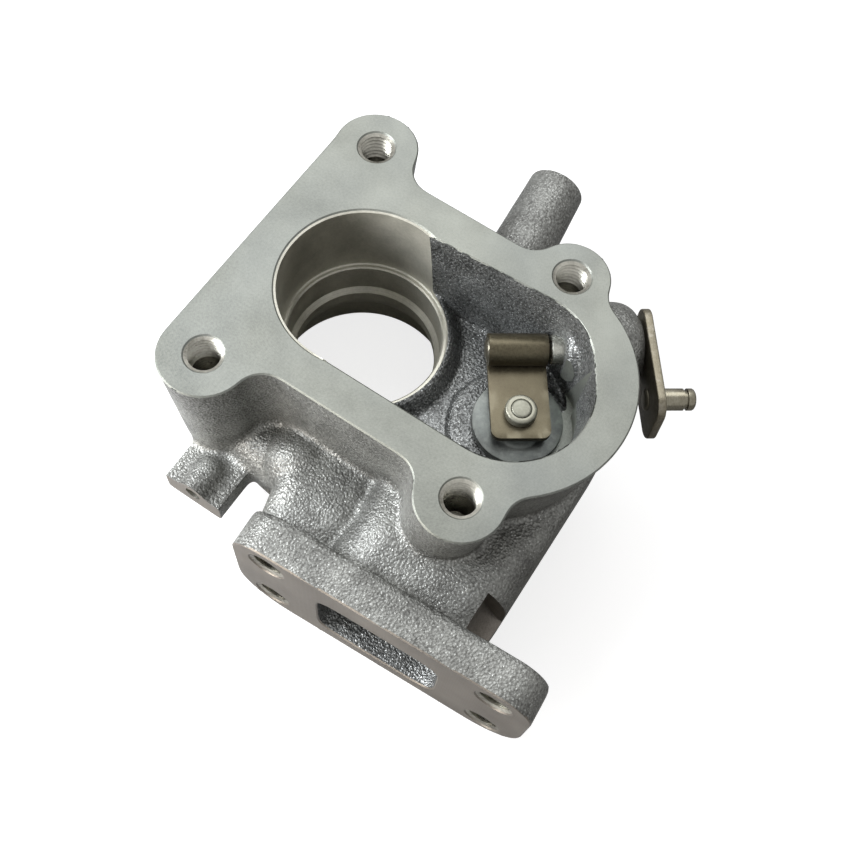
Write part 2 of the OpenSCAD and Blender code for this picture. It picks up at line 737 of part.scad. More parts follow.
module lever_pin() {
    r = pin_d / 2;
    head_t = 0.7;
    head_in = 0.6;
    head_edge = 0.2;
    nose = 0.8;
    end = lever_t + pin_l;
    groove_end = end - groove_at;
    color("silver") on_shaft() translate([pin_at, 0, lever_at]) rotate_extrude() polygon([
        [0, -head_t], [r - head_in, -head_t], [r, -head_edge], [r, 0],
        [pin_neck_r, 0], [pin_neck_r, lever_t], [r, lever_t],
        [r, groove_end - groove_w], [r - groove_t, groove_end - groove_w],
        [r - groove_t, groove_end], [r, groove_end],
        [r, end - nose], [r - nose, end], [0, end]]);
}

// Bead of weld round one end of the shaft, as a flat-footed ring with a rounded slope
module weld_bead(r, size) {
    steps = 5;
    rotate_extrude() polygon(concat([[r, 0]], [for (i = [0 : steps]) let (t = 90 * i / steps)
        [r + size * cos(t), size * sin(t)]]));
}

module lever_weld() {
    color("slategray") on_shaft() translate([0, 0, lever_at + lever_t]) weld_bead(shaft_d / 2, weld_w);
}

module arm_weld() {
    lap = 0.9;
    slope = 1.5;
    proud = 0.8;
    color("slategray") on_shaft() translate([0, 0, -strap_w / 2]) mirror([0, 0, 1])
        cylinder(r1 = shaft_d / 2 + lap, r2 = shaft_d / 2 + lap - slope, h = proud);
}

turbine_housing();
wastegate_bush();
wastegate_shaft();
swing_arm();
wastegate_valve();
valve_washer();
outer_lever();
lever_pin();
lever_weld();
arm_weld();
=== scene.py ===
"""Looks of a turbocharger's turbine housing with its internal wastegate.

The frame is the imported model: origin on the turbine axis at the bearing-side face, +Z up that axis to the
outlet flange, +X towards the wastegate valve. Sizes below are in millimetres and are brought to metres when
a piece is finished.
"""
import logging
import math
from dataclasses import dataclass, field
from enum import Enum, IntEnum
from typing import Callable, Sequence

import bmesh
import bpy
from mathutils import Matrix, Vector, noise


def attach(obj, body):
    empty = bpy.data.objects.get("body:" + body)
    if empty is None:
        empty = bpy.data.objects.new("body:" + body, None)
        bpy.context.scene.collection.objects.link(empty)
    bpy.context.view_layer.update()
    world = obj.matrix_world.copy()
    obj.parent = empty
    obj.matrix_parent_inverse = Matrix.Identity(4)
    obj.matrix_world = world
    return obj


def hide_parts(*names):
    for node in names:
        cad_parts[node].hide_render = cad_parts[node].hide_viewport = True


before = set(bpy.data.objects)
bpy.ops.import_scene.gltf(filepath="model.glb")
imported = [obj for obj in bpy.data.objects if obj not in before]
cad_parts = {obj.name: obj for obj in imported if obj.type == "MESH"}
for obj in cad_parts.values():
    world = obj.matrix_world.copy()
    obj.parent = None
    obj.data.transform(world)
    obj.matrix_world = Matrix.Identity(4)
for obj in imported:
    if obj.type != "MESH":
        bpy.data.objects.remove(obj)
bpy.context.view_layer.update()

LOG = logging.getLogger("turbine_housing")
MM = 0.001
Profile = Sequence[tuple[float, float]]
Colour = tuple[float, float, float]
Shape = bmesh.types.BMesh
Piece = bpy.types.Object
Socket = bpy.types.NodeSocket


class Skin(IntEnum):
    """Finishes of the casting, in the order of its material slots."""

    CAST = 0
    MILLED = 1
    TURNED = 2
    HOLLOW = 3
    THREAD = 4
    SEAT = 5
    INLET = 6


class Body(str, Enum):
    """Bodies that the pieces ride on."""

    HOUSING = "housing"
    ARM = "wastegate_arm"
    FLAP = "flap"


# Mesh helpers


def lerp(a: float, b: float, t: float) -> float:
    """Returns the value a share t of the way from a to b."""
    return a + (b - a) * t


def axes(origin: Sequence[float], x: Sequence[float], y: Sequence[float], z: Sequence[float]) -> Matrix:
    """Makes a placing matrix.

    Args:
        origin: Where the local origin goes.
        x: Direction of the local X axis.
        y: Direction of the local Y axis.
        z: Direction of the local Z axis.

    Returns:
        The matrix from local to frame coordinates.
    """
    made = Matrix((x, y, z)).transposed().to_4x4()
    made.translation = Vector(origin)
    return made


def spun(profile: Profile, steps: int = 96, ring: bool = False) -> Shape:
    """Spins a profile round the Z axis.

    Args:
        profile: Radius and height of each point, from one pole to the other or round a ring's section.
        steps: Number of facets round the axis.
        ring: True when the profile closes on itself away from the axis.

    Returns:
        The closed shape.
    """
    bm = bmesh.new()
    verts = [bm.verts.new((r, 0.0, z)) for r, z in profile]
    pairs = list(zip(verts, verts[1:])) + ([(verts[-1], verts[0])] if ring else [])
    edges = [bm.edges.new(pair) for pair in pairs]
    bmesh.ops.spin(
        bm, geom=verts + edges, cent=(0, 0, 0), axis=(0, 0, 1), dvec=(0, 0, 0), angle=math.tau,
        space=Matrix(), steps=steps, use_merge=True, use_normal_flip=False, use_duplicate=False,
    )
    bmesh.ops.remove_doubles(bm, verts=bm.verts, dist=1e-3)
    bmesh.ops.recalc_face_normals(bm, faces=bm.faces)
    return bm


def drum(r1: float, r2: float, z1: float, z2: float, steps: int = 64) -> Shape:
    """Makes a cylinder or cone between two heights.

    Args:
        r1: Radius at the lower height.
        r2: Radius at the upper height.
        z1: Lower height.
        z2: Upper height.
        steps: Number of facets round it.

    Returns:
        The closed shape.
    """
    bm = bmesh.new()
    bmesh.ops.create_cone(
        bm, cap_ends=True, cap_tris=False, segments=steps, radius1=r1, radius2=r2, depth=z2 - z1,
        matrix=Matrix.Translation((0, 0, (z1 + z2) / 2)),
    )
    return bm


def block(low: Sequence[float], high: Sequence[float]) -> Shape:
    """Makes a box.

    Args:
        low: Its lowest corner.
        high: Its highest corner.

    Returns:
        The closed shape.
    """
    bm = bmesh.new()
    size = [b - a for a, b in zip(low, high)]
    mid = [(a + b) / 2 for a, b in zip(low, high)]
    bmesh.ops.create_cube(bm, size=1.0, matrix=Matrix.Translation(mid) @ Matrix.Diagonal((*size, 1.0)))
    return bm


def slab(w: float, h: float, r: float, t: float, segments: int = 10) -> Shape:
    """Makes a plate with rounded corners, standing on z = 0 and centred on the Z axis.

    Args:
        w: Size along X.
        h: Size along Y.
        r: Radius of the corners.
        t: Thickness.
        segments: Facets in each corner.

    Returns:
        The closed shape.
    """
    bm = block((-w / 2, -h / 2, 0), (w / 2, h / 2, t))
    upright = [e for e in bm.edges if abs(e.verts[0].co.z - e.verts[1].co.z) > t / 2]
    bmesh.ops.bevel(
        bm, geom=upright, offset=r, offset_type="OFFSET", segments=segments, profile=0.5, affect="EDGES",
        material=-1, clamp_overlap=True,
    )
    return bm


def placed(bm: Shape, place: Matrix) -> Shape:
    """Moves a shape by a matrix and points its faces outwards again.

    Args:
        bm: The shape.
        place: The matrix to move it by.

    Returns:
        The same shape.
    """
    bm.transform(place)
    bmesh.ops.recalc_face_normals(bm, faces=bm.faces)
    return bm


def gathered(shapes: Sequence[Shape]) -> Shape:
    """Puts several shapes in one bmesh and frees them.

    Args:
        shapes: The shapes.

    Returns:
        One bmesh that holds them all.
    """
    whole = bmesh.new()
    for shape in shapes:
        carrier = bpy.data.meshes.new("carrier")
        shape.to_mesh(carrier)
        shape.free()
        whole.from_mesh(carrier)
        bpy.data.meshes.remove(carrier)
    return whole


def hulled(shapes: Sequence[Shape]) -> Shape:
    """Wraps several shapes in their convex hull.

    Args:
        shapes: The shapes, which are freed.

    Returns:
        The closed hull.
    """
    bm = gathered(shapes)
    bmesh.ops.delete(bm, geom=list(bm.faces), context="FACES_ONLY")
    bmesh.ops.delete(bm, geom=list(bm.edges), context="EDGES_FACES")
    made = bmesh.ops.convex_hull(bm, input=bm.verts, use_existing_faces=False)
    inner = (*made["geom_interior"], *made["geom_unused"])
    spare = {item for item in inner if isinstance(item, bmesh.types.BMVert)}
    bmesh.ops.delete(bm, geom=list(spare), context="VERTS")
    bmesh.ops.recalc_face_normals(bm, faces=bm.faces)
    return bm


def lofted(rings: Sequence[Callable[[float], Vector]], count: int = 32) -> Shape:
    """Bridges a row of closed sections into a tube with closed ends.

    Args:
        rings: For each section, a function from the angle round it to a point.
        count: Number of points in each section.

    Returns:
        The closed shape.
    """
    bm = bmesh.new()
    loops: list[list[bmesh.types.BMEdge]] = []
    for ring in rings:
        verts = bmesh.ops.create_circle(bm, cap_ends=False, segments=count, radius=1.0)["verts"]
        for vert in verts:
            vert.co = ring(math.atan2(vert.co.y, vert.co.x) + math.pi / count)
        loops.append(list({e for v in verts for e in v.link_edges}))
    for first, second in zip(loops, loops[1:]):
        bmesh.ops.bridge_loops(bm, edges=first + second)
    for end in (loops[0], loops[-1]):
        bmesh.ops.contextual_create(bm, geom=end)
    bmesh.ops.recalc_face_normals(bm, faces=bm.faces)
    return bm


def as_object(bm: Shape, name: str, place: Matrix | None = None) -> Piece:
    """Finishes a shape as a smooth object in metres that sits at the origin.

    Args:
        bm: The shape in millimetres, which is freed.
        name: Name of the object.
        place: Matrix from the shape's own axes to the frame.

    Returns:
        The object, linked to the scene.
    """
    bm.transform(Matrix.Scale(MM, 4) @ (place or Matrix()))
    bmesh.ops.recalc_face_normals(bm, faces=bm.faces)
    for face in bm.faces:
        face.smooth = True
    mesh = bpy.data.meshes.new(name)
    bm.to_mesh(mesh)
    bm.free()
    obj = bpy.data.objects.new(name, mesh)
    bpy.context.scene.collection.objects.link(obj)
    return obj


def slotted(obj: Piece, materials: Sequence[bpy.types.Material], skin: int = 0) -> Piece:
    """Gives an object the casting's material slots, with every face in one of them.

    Args:
        obj: The object.
        materials: The materials, in the order of the slots.
        skin: The slot that its faces take.

    Returns:
        The same object.
    """
    obj.data.materials.clear()
    for material in materials:
        obj.data.materials.append(material)
    for poly in obj.data.polygons:
        poly.material_index = skin
    return obj


def limited(obj: Piece, keep: Piece) -> Piece:
    """Keeps only the part of an object that lies inside another one, which is deleted.

    Args:
        obj: The object.
        keep: The solid that bounds it.

    Returns:
        The same object.
    """
    step = obj.modifiers.new("limit", "BOOLEAN")
    step.operation, step.solver, step.object = "INTERSECT", "MANIFOLD", keep
    settle(obj)
    drop(keep)
    return obj


def settle(obj: Piece) -> Piece:
    """Applies an object's modifiers to its mesh.

    Args:
        obj: The object.

    Returns:
        The same object, without modifiers.
    """
    bpy.context.view_layer.update()
    evaluated = obj.evaluated_get(bpy.context.evaluated_depsgraph_get())
    mesh = bpy.data.meshes.new_from_object(evaluated)
    old = obj.data
    obj.modifiers.clear()
    obj.data = mesh
    bpy.data.meshes.remove(old)
    mesh.name = obj.name
    return obj


def drop(obj: Piece) -> None:
    """Deletes a helper object and its mesh.

    Args:
        obj: The object.
    """
    mesh = obj.data
    bpy.data.objects.remove(obj)
    bpy.data.meshes.remove(mesh)


def carve(target: Piece, cutters: Sequence[Piece], join: bool = False) -> Piece:
    """Cuts or joins solids with the Boolean modifier and deletes the cutters.

    Args:
        target: The object that is cut.
        cutters: The objects to cut with, one after the other.
        join: True to add them instead.

    Returns:
        The target.
    """
    for cutter in cutters:
        step = target.modifiers.new("carve", "BOOLEAN")
        step.operation = "UNION" if join else "DIFFERENCE"
        step.solver = "MANIFOLD"
        step.object = cutter
    settle(target)
    for cutter in cutters:
        drop(cutter)
    return target


def softened(obj: Piece, voxel: float, rounds: int) -> Piece:
    """Fuses overlapping solids and rounds them as sand casting does.

    Args:
        obj: The object.
        voxel: Size of the remesh in millimetres.
        rounds: How many times the surface is relaxed.

    Returns:
        The same object.
    """
    remesh = obj.modifiers.new("fuse", "REMESH")
    remesh.mode = "VOXEL"
    remesh.voxel_size = voxel * MM
    remesh.use_smooth_shade = True
    relax = obj.modifiers.new("relax", "SMOOTH")
    relax.factor = 0.5
    relax.iterations = rounds
    return settle(obj)


def crisp(obj: Piece, degrees: float = 32.0) -> Piece:
    """Shades an object smooth, with sharp edges past an angle and between two finishes.

    Args:
        obj: The object.
        degrees: The angle between faces past which an edge is sharp.

    Returns:
        The same object.
    """
    bm = bmesh.new()
    bm.from_mesh(obj.data)
    for face in bm.faces:
        face.smooth = True
    for edge in bm.edges:
        sides = edge.link_faces
        edge.smooth = (len(sides) == 2 and sides[0].material_index == sides[1].material_index
                       and edge.calc_face_angle(0.0) < math.radians(degrees))
    bm.to_mesh(obj.data)
    bm.free()
    return obj


def bevelled(obj: Piece, width: float, segments: int = 3, degrees: float = 40.0) -> Piece:
    """Rounds an object's sharp edges with a bevel.

    Args:
        obj: The object.
        width: Width of the bevel in millimetres.
        segments: Facets across it.
        degrees: Angle past which an edge is bevelled.

    Returns:
        The same object.
    """
    bevel = obj.modifiers.new("edge", "BEVEL")
    bevel.width = width * MM
    bevel.segments = segments
    bevel.limit_method = "ANGLE"
    bevel.angle_limit = math.radians(degrees)
    bevel.miter_outer = "MITER_ARC"
    return settle(obj)


# Finishes


def tone(red: int, green: int, blue: int) -> Colour:
    """Turns a colour of 0 to 255 into the linear values that a shader takes.

    Args:
        red: The red channel.
        green: The green channel.
        blue: The blue channel.

    Returns:
        The colour in linear light.
    """
    def part(value: int) -> float:
        """Returns one channel in linear light."""
        share = value / 255
        return share / 12.92 if share <= 0.04045 else ((share + 0.055) / 1.055) ** 2.4
    return part(red), part(green), part(blue)


class Tree:
    """A node tree in the making."""

    def __init__(self, tree: bpy.types.NodeTree) -> None:
        """Takes the tree to add nodes to."""
        self.tree = tree

    def node(self, kind: str, **settings: object) -> bpy.types.Node:
        """Adds a node.

        Args:
            kind: The node's type, without its ShaderNode prefix.
            settings: Properties of the node to set.

        Returns:
            The node.
        """
        made = self.tree.nodes.new("ShaderNode" + kind if not kind.startswith("Node") else kind)
        for key, value in settings.items():
            setattr(made, key, value)
        return made

    def link(self, source: Socket, target: Socket) -> None:
        """Links two sockets."""
        self.tree.links.new(source, target)

    def feed(self, socket: Socket, value: object) -> None:
        """Links a source to a socket, or sets the socket's value.

        Args:
            socket: The input socket.
            value: The output socket or the value that it takes.
        """
        if isinstance(value, Socket):
            self.link(value, socket)
        else:
            socket.default_value = value

    def math(self, operation: str, a: object, b: object = 0.0, clamp: bool = False) -> Socket:
        """Adds a Math node.

        Args:
            operation: What it works out.
            a: Its first value or source.
            b: Its second value or source.
            clamp: True to keep the result between 0 and 1.

        Returns:
            The node's result.
        """
        made = self.node("Math", operation=operation, use_clamp=clamp)
        self.feed(made.inputs[0], a)
        self.feed(made.inputs[1], b)
        return made.outputs[0]

    def mix(self, share: object, a: object, b: object) -> Socket:
        """Adds a colour Mix node.

        Args:
            share: Share of the second colour.
            a: The first colour or its source.
            b: The second colour or its source.

        Returns:
            The node's result.
        """
        made = self.node("Mix", data_type="RGBA")
        self.feed(made.inputs["Factor"], share)
        colour_a, colour_b = made.inputs[6], made.inputs[7]
        self.feed(colour_a, a)
        self.feed(colour_b, b)
        return made.outputs[2]

    def spread(self, value: object, low: float, high: float, to_low: float, to_high: float) -> Socket:
        """Adds a clamped Map Range node.

        Args:
            value: The value or source to bring to a new range.
            low: Lower end of the old range.
            high: Upper end of the old range.
            to_low: What the lower end becomes.
            to_high: What the upper end becomes.

        Returns:
            The node's result.
        """
        made = self.node("MapRange", clamp=True)
        for socket, item in zip(made.inputs, (value, low, high, to_low, to_high)):
            self.feed(socket, item)
        return made.outputs[0]

    def noise(self, vector: object, scale: float, detail: float = 3.0, rough: float = 0.55) -> Socket:
        """Adds a Noise texture.

        Args:
            vector: Source of its coordinates.
            scale: Its scale, for coordinates in metres.
            detail: How many finer layers it has.
            rough: How strong the finer layers are.

        Returns:
            The texture's value.
        """
        made = self.node("TexNoise")
        self.feed(made.inputs["Vector"], vector)
        made.inputs["Scale"].default_value = scale
        made.inputs["Detail"].default_value = detail
        made.inputs["Roughness"].default_value = rough
        return made.outputs[0]


def new_group(
        name: str, inputs: Sequence[tuple[str, str, object]], outputs: Sequence[tuple[str, str]]) -> Tree:
    """Starts a shader node group with named sockets.

    Args:
        name: The group's name.
        inputs: Name, socket type and default of each input.
        outputs: Name and socket type of each output.

    Returns:
        The group's tree.
    """
    tree = bpy.data.node_groups.new(name, "ShaderNodeTree")
    for label, kind, value in inputs:
        socket = tree.interface.new_socket(label, in_out="INPUT", socket_type=kind)
        if value is not None:
            socket.default_value = value
    for label, kind in outputs:
        tree.interface.new_socket(label, in_out="OUTPUT", socket_type=kind)
    return Tree(tree)


FLOAT, COLOUR, VECTOR = "NodeSocketFloat", "NodeSocketColor", "NodeSocketVector"


def cast_grain_group() -> bpy.types.NodeTree:
    """Builds the sand-cast skin: blotches, dense grain and a few brighter grains.

    Returns:
        The node group.
    """
    made = new_group(
        "cast_grain",
        (("Vector", VECTOR, None), ("Dark", COLOUR, (0.05, 0.05, 0.05, 1)),
         ("Light", COLOUR, (0.2, 0.2, 0.2, 1)), ("Speck", COLOUR, (0.7, 0.7, 0.7, 1)),
         ("Specks", FLOAT, 0.15), ("Matt", FLOAT, 0.6)),
        (("Color", COLOUR), ("Roughness", FLOAT), ("Height", FLOAT)),
    )
    given, out = made.node("NodeGroupInput"), made.node("NodeGroupOutput")
    vector = given.outputs["Vector"]
    blotch = made.noise(vector, 90.0, 3.0, 0.6)
    grain = made.noise(vector, 1300.0, 2.0, 0.6)
    cells = made.node("TexVoronoi", feature="SMOOTH_F1")
    made.feed(cells.inputs["Vector"], vector)
    cells.inputs["Scale"].default_value = 1500.0
    cells.inputs["Smoothness"].default_value = 0.35
    sand = made.math("SUBTRACT", 1.0, cells.outputs["Distance"])
    split = made.node("SeparateColor")
    made.link(cells.outputs["Color"], split.inputs[0])
    limit = made.math("SUBTRACT", 1.0, given.outputs["Specks"])
    chosen = made.math("GREATER_THAN", split.outputs[0], limit)
    speck = made.math("MULTIPLY", chosen, made.spread(sand, 0.6, 0.95, 0.0, 0.7))
    level = made.math("ADD", made.math("MULTIPLY", blotch, 0.7), made.math("MULTIPLY", grain, 0.7))
    level = made.math("ADD", level, made.math("MULTIPLY", sand, 0.35))
    shade = made.spread(level, 0.68, 1.22, 0.0, 1.0)
    base = made.mix(shade, given.outputs["Dark"], given.outputs["Light"])
    made.link(made.mix(speck, base, given.outputs["Speck"]), out.inputs["Color"])
    rough = made.math("ADD", given.outputs["Matt"], made.spread(grain, 0.3, 0.7, 0.1, -0.1))
    made.link(rough, out.inputs["Roughness"])
    made.link(made.math("ADD", made.math("MULTIPLY", sand, 0.7), grain), out.inputs["Height"])
    return made.tree


def milled_group() -> bpy.types.NodeTree:
    """Builds the milled skin: fine mottling with faint arcs of the cutter.

    Returns:
        The node group.
    """
    made = new_group(
        "milled_mottle",
        (("Vector", VECTOR, None), ("Dark", COLOUR, (0.3, 0.3, 0.3, 1)),
         ("Light", COLOUR, (0.5, 0.5, 0.5, 1)), ("Tint", COLOUR, (0.3, 0.35, 0.4, 1)),
         ("Tint Amount", FLOAT, 0.1), ("Matt", FLOAT, 0.4)),
        (("Color", COLOUR), ("Roughness", FLOAT), ("Height", FLOAT)),
    )
    given, out = made.node("NodeGroupInput"), made.node("NodeGroupOutput")
    vector = given.outputs["Vector"]
    fine = made.noise(vector, 1500.0, 2.0, 0.7)
    broad = made.noise(vector, 60.0, 4.0, 0.6)
    stain = made.noise(vector, 26.0, 2.0, 0.5)
    arcs = made.node("TexWave", wave_type="RINGS", rings_direction="Z")
    made.feed(arcs.inputs["Vector"], vector)
    arcs.inputs["Scale"].default_value = 620.0
    arcs.inputs["Distortion"].default_value = 0.6
    arcs.inputs["Detail"].default_value = 2.0
    arcs.inputs["Detail Scale"].default_value = 2.0
    level = made.math("ADD", made.math("MULTIPLY", fine, 0.75), made.math("MULTIPLY", broad, 0.65))
    level = made.math("ADD", level, made.math("MULTIPLY", arcs.outputs["Fac"], 0.04))
    base = made.mix(made.spread(level, 0.5, 0.92, 0.0, 1.0), given.outputs["Dark"], given.outputs["Light"])
    share = made.math("MULTIPLY", made.spread(stain, 0.42, 0.66, 0.0, 1.0), given.outputs["Tint Amount"])
    made.link(made.mix(share, base, given.outputs["Tint"]), out.inputs["Color"])
    rough = made.math("ADD", given.outputs["Matt"], made.spread(fine, 0.3, 0.7, -0.06, 0.08))
    made.link(rough, out.inputs["Roughness"])
    made.link(made.math("ADD", fine, made.math("MULTIPLY", arcs.outputs["Fac"], 0.35)), out.inputs["Height"])
    return made.tree


def turned_group() -> bpy.types.NodeTree:
    """Builds the turned skin: fine rings along the local Z axis, with a little staining.

    Returns:
        The node group.
    """
    made = new_group(
        "turned_rings",
        (("Vector", VECTOR, None), ("Dark", COLOUR, (0.05, 0.05, 0.04, 1)),
         ("Light", COLOUR, (0.1, 0.1, 0.1, 1)), ("Ring Scale", FLOAT, 700.0), ("Matt", FLOAT, 0.35)),
        (("Color", COLOUR), ("Roughness", FLOAT), ("Height", FLOAT)),
    )
    given, out = made.node("NodeGroupInput"), made.node("NodeGroupOutput")
    vector = given.outputs["Vector"]
    rings = made.node("TexWave", wave_type="BANDS", bands_direction="Z")
    made.feed(rings.inputs["Vector"], vector)
    made.link(given.outputs["Ring Scale"], rings.inputs["Scale"])
    rings.inputs["Distortion"].default_value = 0.9
    rings.inputs["Detail"].default_value = 3.0
    rings.inputs["Detail Scale"].default_value = 0.4
    stain = made.noise(vector, 110.0, 4.0, 0.6)
    fine = made.noise(vector, 1300.0, 2.0, 0.6)
    level = made.math("ADD", made.math("MULTIPLY", stain, 0.8), made.math("MULTIPLY", fine, 0.35))
    level = made.math("ADD", level, made.math("MULTIPLY", rings.outputs["Fac"], 0.1))
    base = made.mix(made.spread(level, 0.42, 0.86, 0.0, 1.0), given.outputs["Dark"], given.outputs["Light"])
    made.link(base, out.inputs["Color"])
    rough = made.math("ADD", given.outputs["Matt"], made.spread(stain, 0.3, 0.7, -0.08, 0.1))
    made.link(rough, out.inputs["Roughness"])
    made.link(made.math("ADD", made.math("MULTIPLY", rings.outputs["Fac"], 0.6), fine), out.inputs["Height"])
    return made.tree


def wear_and_glint_group() -> bpy.types.NodeTree:
    """Builds the edge mask, which lightens convex corners: partly rubbed metal, partly a painted highlight
    where edges catch the light.

    Returns:
        The node group.
    """
    made = new_group(
        "edge_wear_and_glint",
        (("Vector", VECTOR, None), ("Color", COLOUR, (0.1, 0.1, 0.1, 1)),
         ("Worn Glint", COLOUR, (0.6, 0.6, 0.6, 1)), ("Amount", FLOAT, 0.5)),
        (("Color", COLOUR), ("Mask", FLOAT)),
    )
    given, out = made.node("NodeGroupInput"), made.node("NodeGroupOutput")
    # Convex corners are lightened: partly rubbed metal, partly a painted highlight on edges that catch the
    # light.
    point = made.node("NewGeometry").outputs["Pointiness"]
    rag = made.noise(given.outputs["Vector"], 420.0, 3.0, 0.6)
    corner, ragged = made.spread(point, 0.5, 0.62, 0.0, 1.0), made.spread(rag, 0.3, 0.7, -0.35, 0.25)
    mask = made.math("MULTIPLY", made.math("ADD", corner, ragged), given.outputs["Amount"], True)
    made.link(made.mix(mask, given.outputs["Color"], given.outputs["Worn Glint"]), out.inputs["Color"])
    made.link(mask, out.inputs["Mask"])
    return made.tree


class Shop:
    """Holds the node groups and makes the materials."""

    def __init__(self) -> None:
        """Builds each node group once."""
        self.groups = {
            "cast": cast_grain_group(), "milled": milled_group(), "turned": turned_group(),
            "wear_and_glint": wear_and_glint_group(),
        }

    def material(self, name: str, finish: "Finish") -> bpy.types.Material:
        """Makes a material from a finish.

        Args:
            name: The material's name.
            finish: The finish.

        Returns:
            The material.
        """
        made = bpy.data.materials.new(name)
        made.use_nodes = True
        tree = Tree(made.node_tree)
        shader = made.node_tree.nodes["Principled BSDF"]
        shader.inputs["Metallic"].default_value = finish.metal
        source: Socket = tree.node("TexCoord").outputs["Object"]
        if finish.turn is not None:
            mapping = tree.node("Mapping", vector_type="TEXTURE")
            mapping.inputs["Location"].default_value = finish.turn.to_translation()
            mapping.inputs["Rotation"].default_value = finish.turn.to_euler()
            tree.link(source, mapping.inputs["Vector"])
            source = mapping.outputs[0]
        group = tree.node("Group")
        group.node_tree = self.groups[finish.kind]
        tree.link(source, group.inputs["Vector"])
        for key, value in finish.values().items():
            group.inputs[key].default_value = value
        colour = group.outputs["Color"]
        # Lightened convex edges: partly rubbed metal, partly a painted highlight where edges catch the light.
        if finish.wear_and_glint > 0:
            wear_and_glint = tree.node("Group")
            wear_and_glint.node_tree = self.groups["wear_and_glint"]
            tree.link(source, wear_and_glint.inputs["Vector"])
            tree.link(colour, wear_and_glint.inputs["Color"])
            wear_and_glint.inputs["Worn Glint"].default_value = (*finish.worn_glint, 1.0)
            wear_and_glint.inputs["Amount"].default_value = finish.wear_and_glint
            colour = wear_and_glint.outputs["Color"]
        tree.link(colour, shader.inputs["Base Color"])
        tree.link(group.outputs["Roughness"], shader.inputs["Roughness"])
        bump = tree.node("Bump")
        bump.inputs["Strength"].default_value = finish.bump
        bump.inputs["Distance"].default_value = finish.relief * MM
        tree.link(group.outputs["Height"], bump.inputs["Height"])
        tree.link(bump.outputs[0], shader.inputs["Normal"])
        return made


@dataclass(frozen=True)
class Finish:
    """A surface finish: what all kinds share."""

    dark: Colour = (0.05, 0.05, 0.05)
    light: Colour = (0.2, 0.2, 0.2)
    matt: float = 0.5
    metal: float = 0.6
    bump: float = 0.5
    relief: float = 0.1
    # Edge colour on convex corners: partly rubbed metal, partly a painted highlight where edges catch the
    # light.
    wear_and_glint: float = 0.0
    worn_glint: Colour = (0.6, 0.6, 0.58)
    turn: Matrix | None = field(default=None, compare=False)
    kind: str = "cast"

    def values(self) -> dict[str, object]:
        """Returns the values of the node group's inputs."""
        return {"Dark": (*self.dark, 1.0), "Light": (*self.light, 1.0), "Matt": self.matt}


@dataclass(frozen=True)
class CastFinish(Finish):
    """Sand-cast skin with bright specks."""

    speck: Colour = (0.6, 0.6, 0.6)
    specks: float = 0.15

    def values(self) -> dict[str, object]:
        """Returns the values of the node group's inputs."""
        return {**super().values(), "Speck": (*self.speck, 1.0), "Specks": self.specks}


@dataclass(frozen=True)
class MilledFinish(Finish):
    """Milled face with a patchy tint."""

    tint: Colour = (0.3, 0.33, 0.4)
    tinted: float = 0.15
    kind: str = "milled"

    def values(self) -> dict[str, object]:
        """Returns the values of the node group's inputs."""
        return {**super().values(), "Tint": (*self.tint, 1.0), "Tint Amount": self.tinted}


@dataclass(frozen=True)
class TurnedFinish(Finish):
    """Turned or drawn metal with fine rings along its axis."""

    rings: float = 700.0
    kind: str = "turned"

    def values(self) -> dict[str, object]:
        """Returns the values of the node group's inputs."""
        return {**super().values(), "Ring Scale": self.rings}


# Places and sizes that both sub-assemblies share


VALVE = (51.0, 1.2)
ARM_L = 18.3
SHAFT_TURN = math.radians(35)
SHAFT_Z = 49.0
INLET = (51.9, -69.6, 23.2)
INLET_TURN = 2.8
LUG = (-16.5, -62.4, 20.4)
BOSS_ROOT = (25.0, 35.4, 46.0)
BOSS_LEAN = 6.0
SHARP_ANGLE = 36


def moved(x: float, y: float, z: float = 0.0) -> Matrix:
    """Returns a move."""
    return Matrix.Translation((x, y, z))


def turned(degrees: float, axis: str) -> Matrix:
    """Returns a turn about an axis."""
    return Matrix.Rotation(math.radians(degrees), 4, axis)


def shaft_place() -> Matrix:
    """Returns the shaft's frame: local X towards the valve, Y up, Z out along the shaft."""
    s, c = math.sin(SHAFT_TURN), math.cos(SHAFT_TURN)
    return axes((VALVE[0] - ARM_L * s, VALVE[1] + ARM_L * c, SHAFT_Z), (s, -c, 0), (0, 0, 1), (c, s, 0))


# The casting


CAST_SKINS: dict[Skin, tuple[str, Finish]] = {
    Skin.CAST: ("cast_skin", CastFinish(
        dark=tone(86, 86, 83), light=tone(152, 153, 149), matt=0.4, metal=0.45, bump=0.9, relief=0.3,
        speck=tone(205, 207, 204), specks=0.25)),
    Skin.MILLED: ("milled_face", MilledFinish(
        dark=tone(98, 100, 94), light=tone(128, 130, 123), matt=0.44, metal=0.55, bump=0.12, relief=0.05,
        tint=tone(86, 94, 104))),
    # The bore's tones are painted lighter than its machined iron, a painted light standing in for light that
    # reaches into the deep bore.
    Skin.TURNED: ("turned_bore_painted_light", TurnedFinish(
        dark=tone(156, 154, 143), light=tone(196, 194, 182), matt=0.38, metal=0.5, bump=0.15, relief=0.03,
        rings=600.0)),
    Skin.HOLLOW: ("cast_hollow", CastFinish(
        dark=tone(66, 67, 66), light=tone(158, 160, 159), matt=0.34, metal=0.6, bump=1.0, relief=0.3,
        speck=tone(215, 218, 217), specks=0.35)),
    Skin.THREAD: ("tapped_thread", TurnedFinish(
        dark=tone(112, 110, 102), light=tone(190, 188, 178), matt=0.3, metal=0.85, bump=0.1, relief=0.02,
        rings=250.0)),
    Skin.SEAT: ("seat_face", MilledFinish(
        dark=tone(112, 114, 110), light=tone(150, 154, 146), matt=0.4, metal=0.7, bump=0.12, relief=0.04,
        tint=tone(90, 90, 86), tinted=0.3)),
    Skin.INLET: ("inlet_face", MilledFinish(
        dark=tone(98, 92, 84), light=tone(134, 128, 120), matt=0.4, metal=0.6, bump=0.12, relief=0.04,
        tint=tone(90, 88, 86), tinted=0.3)),
}


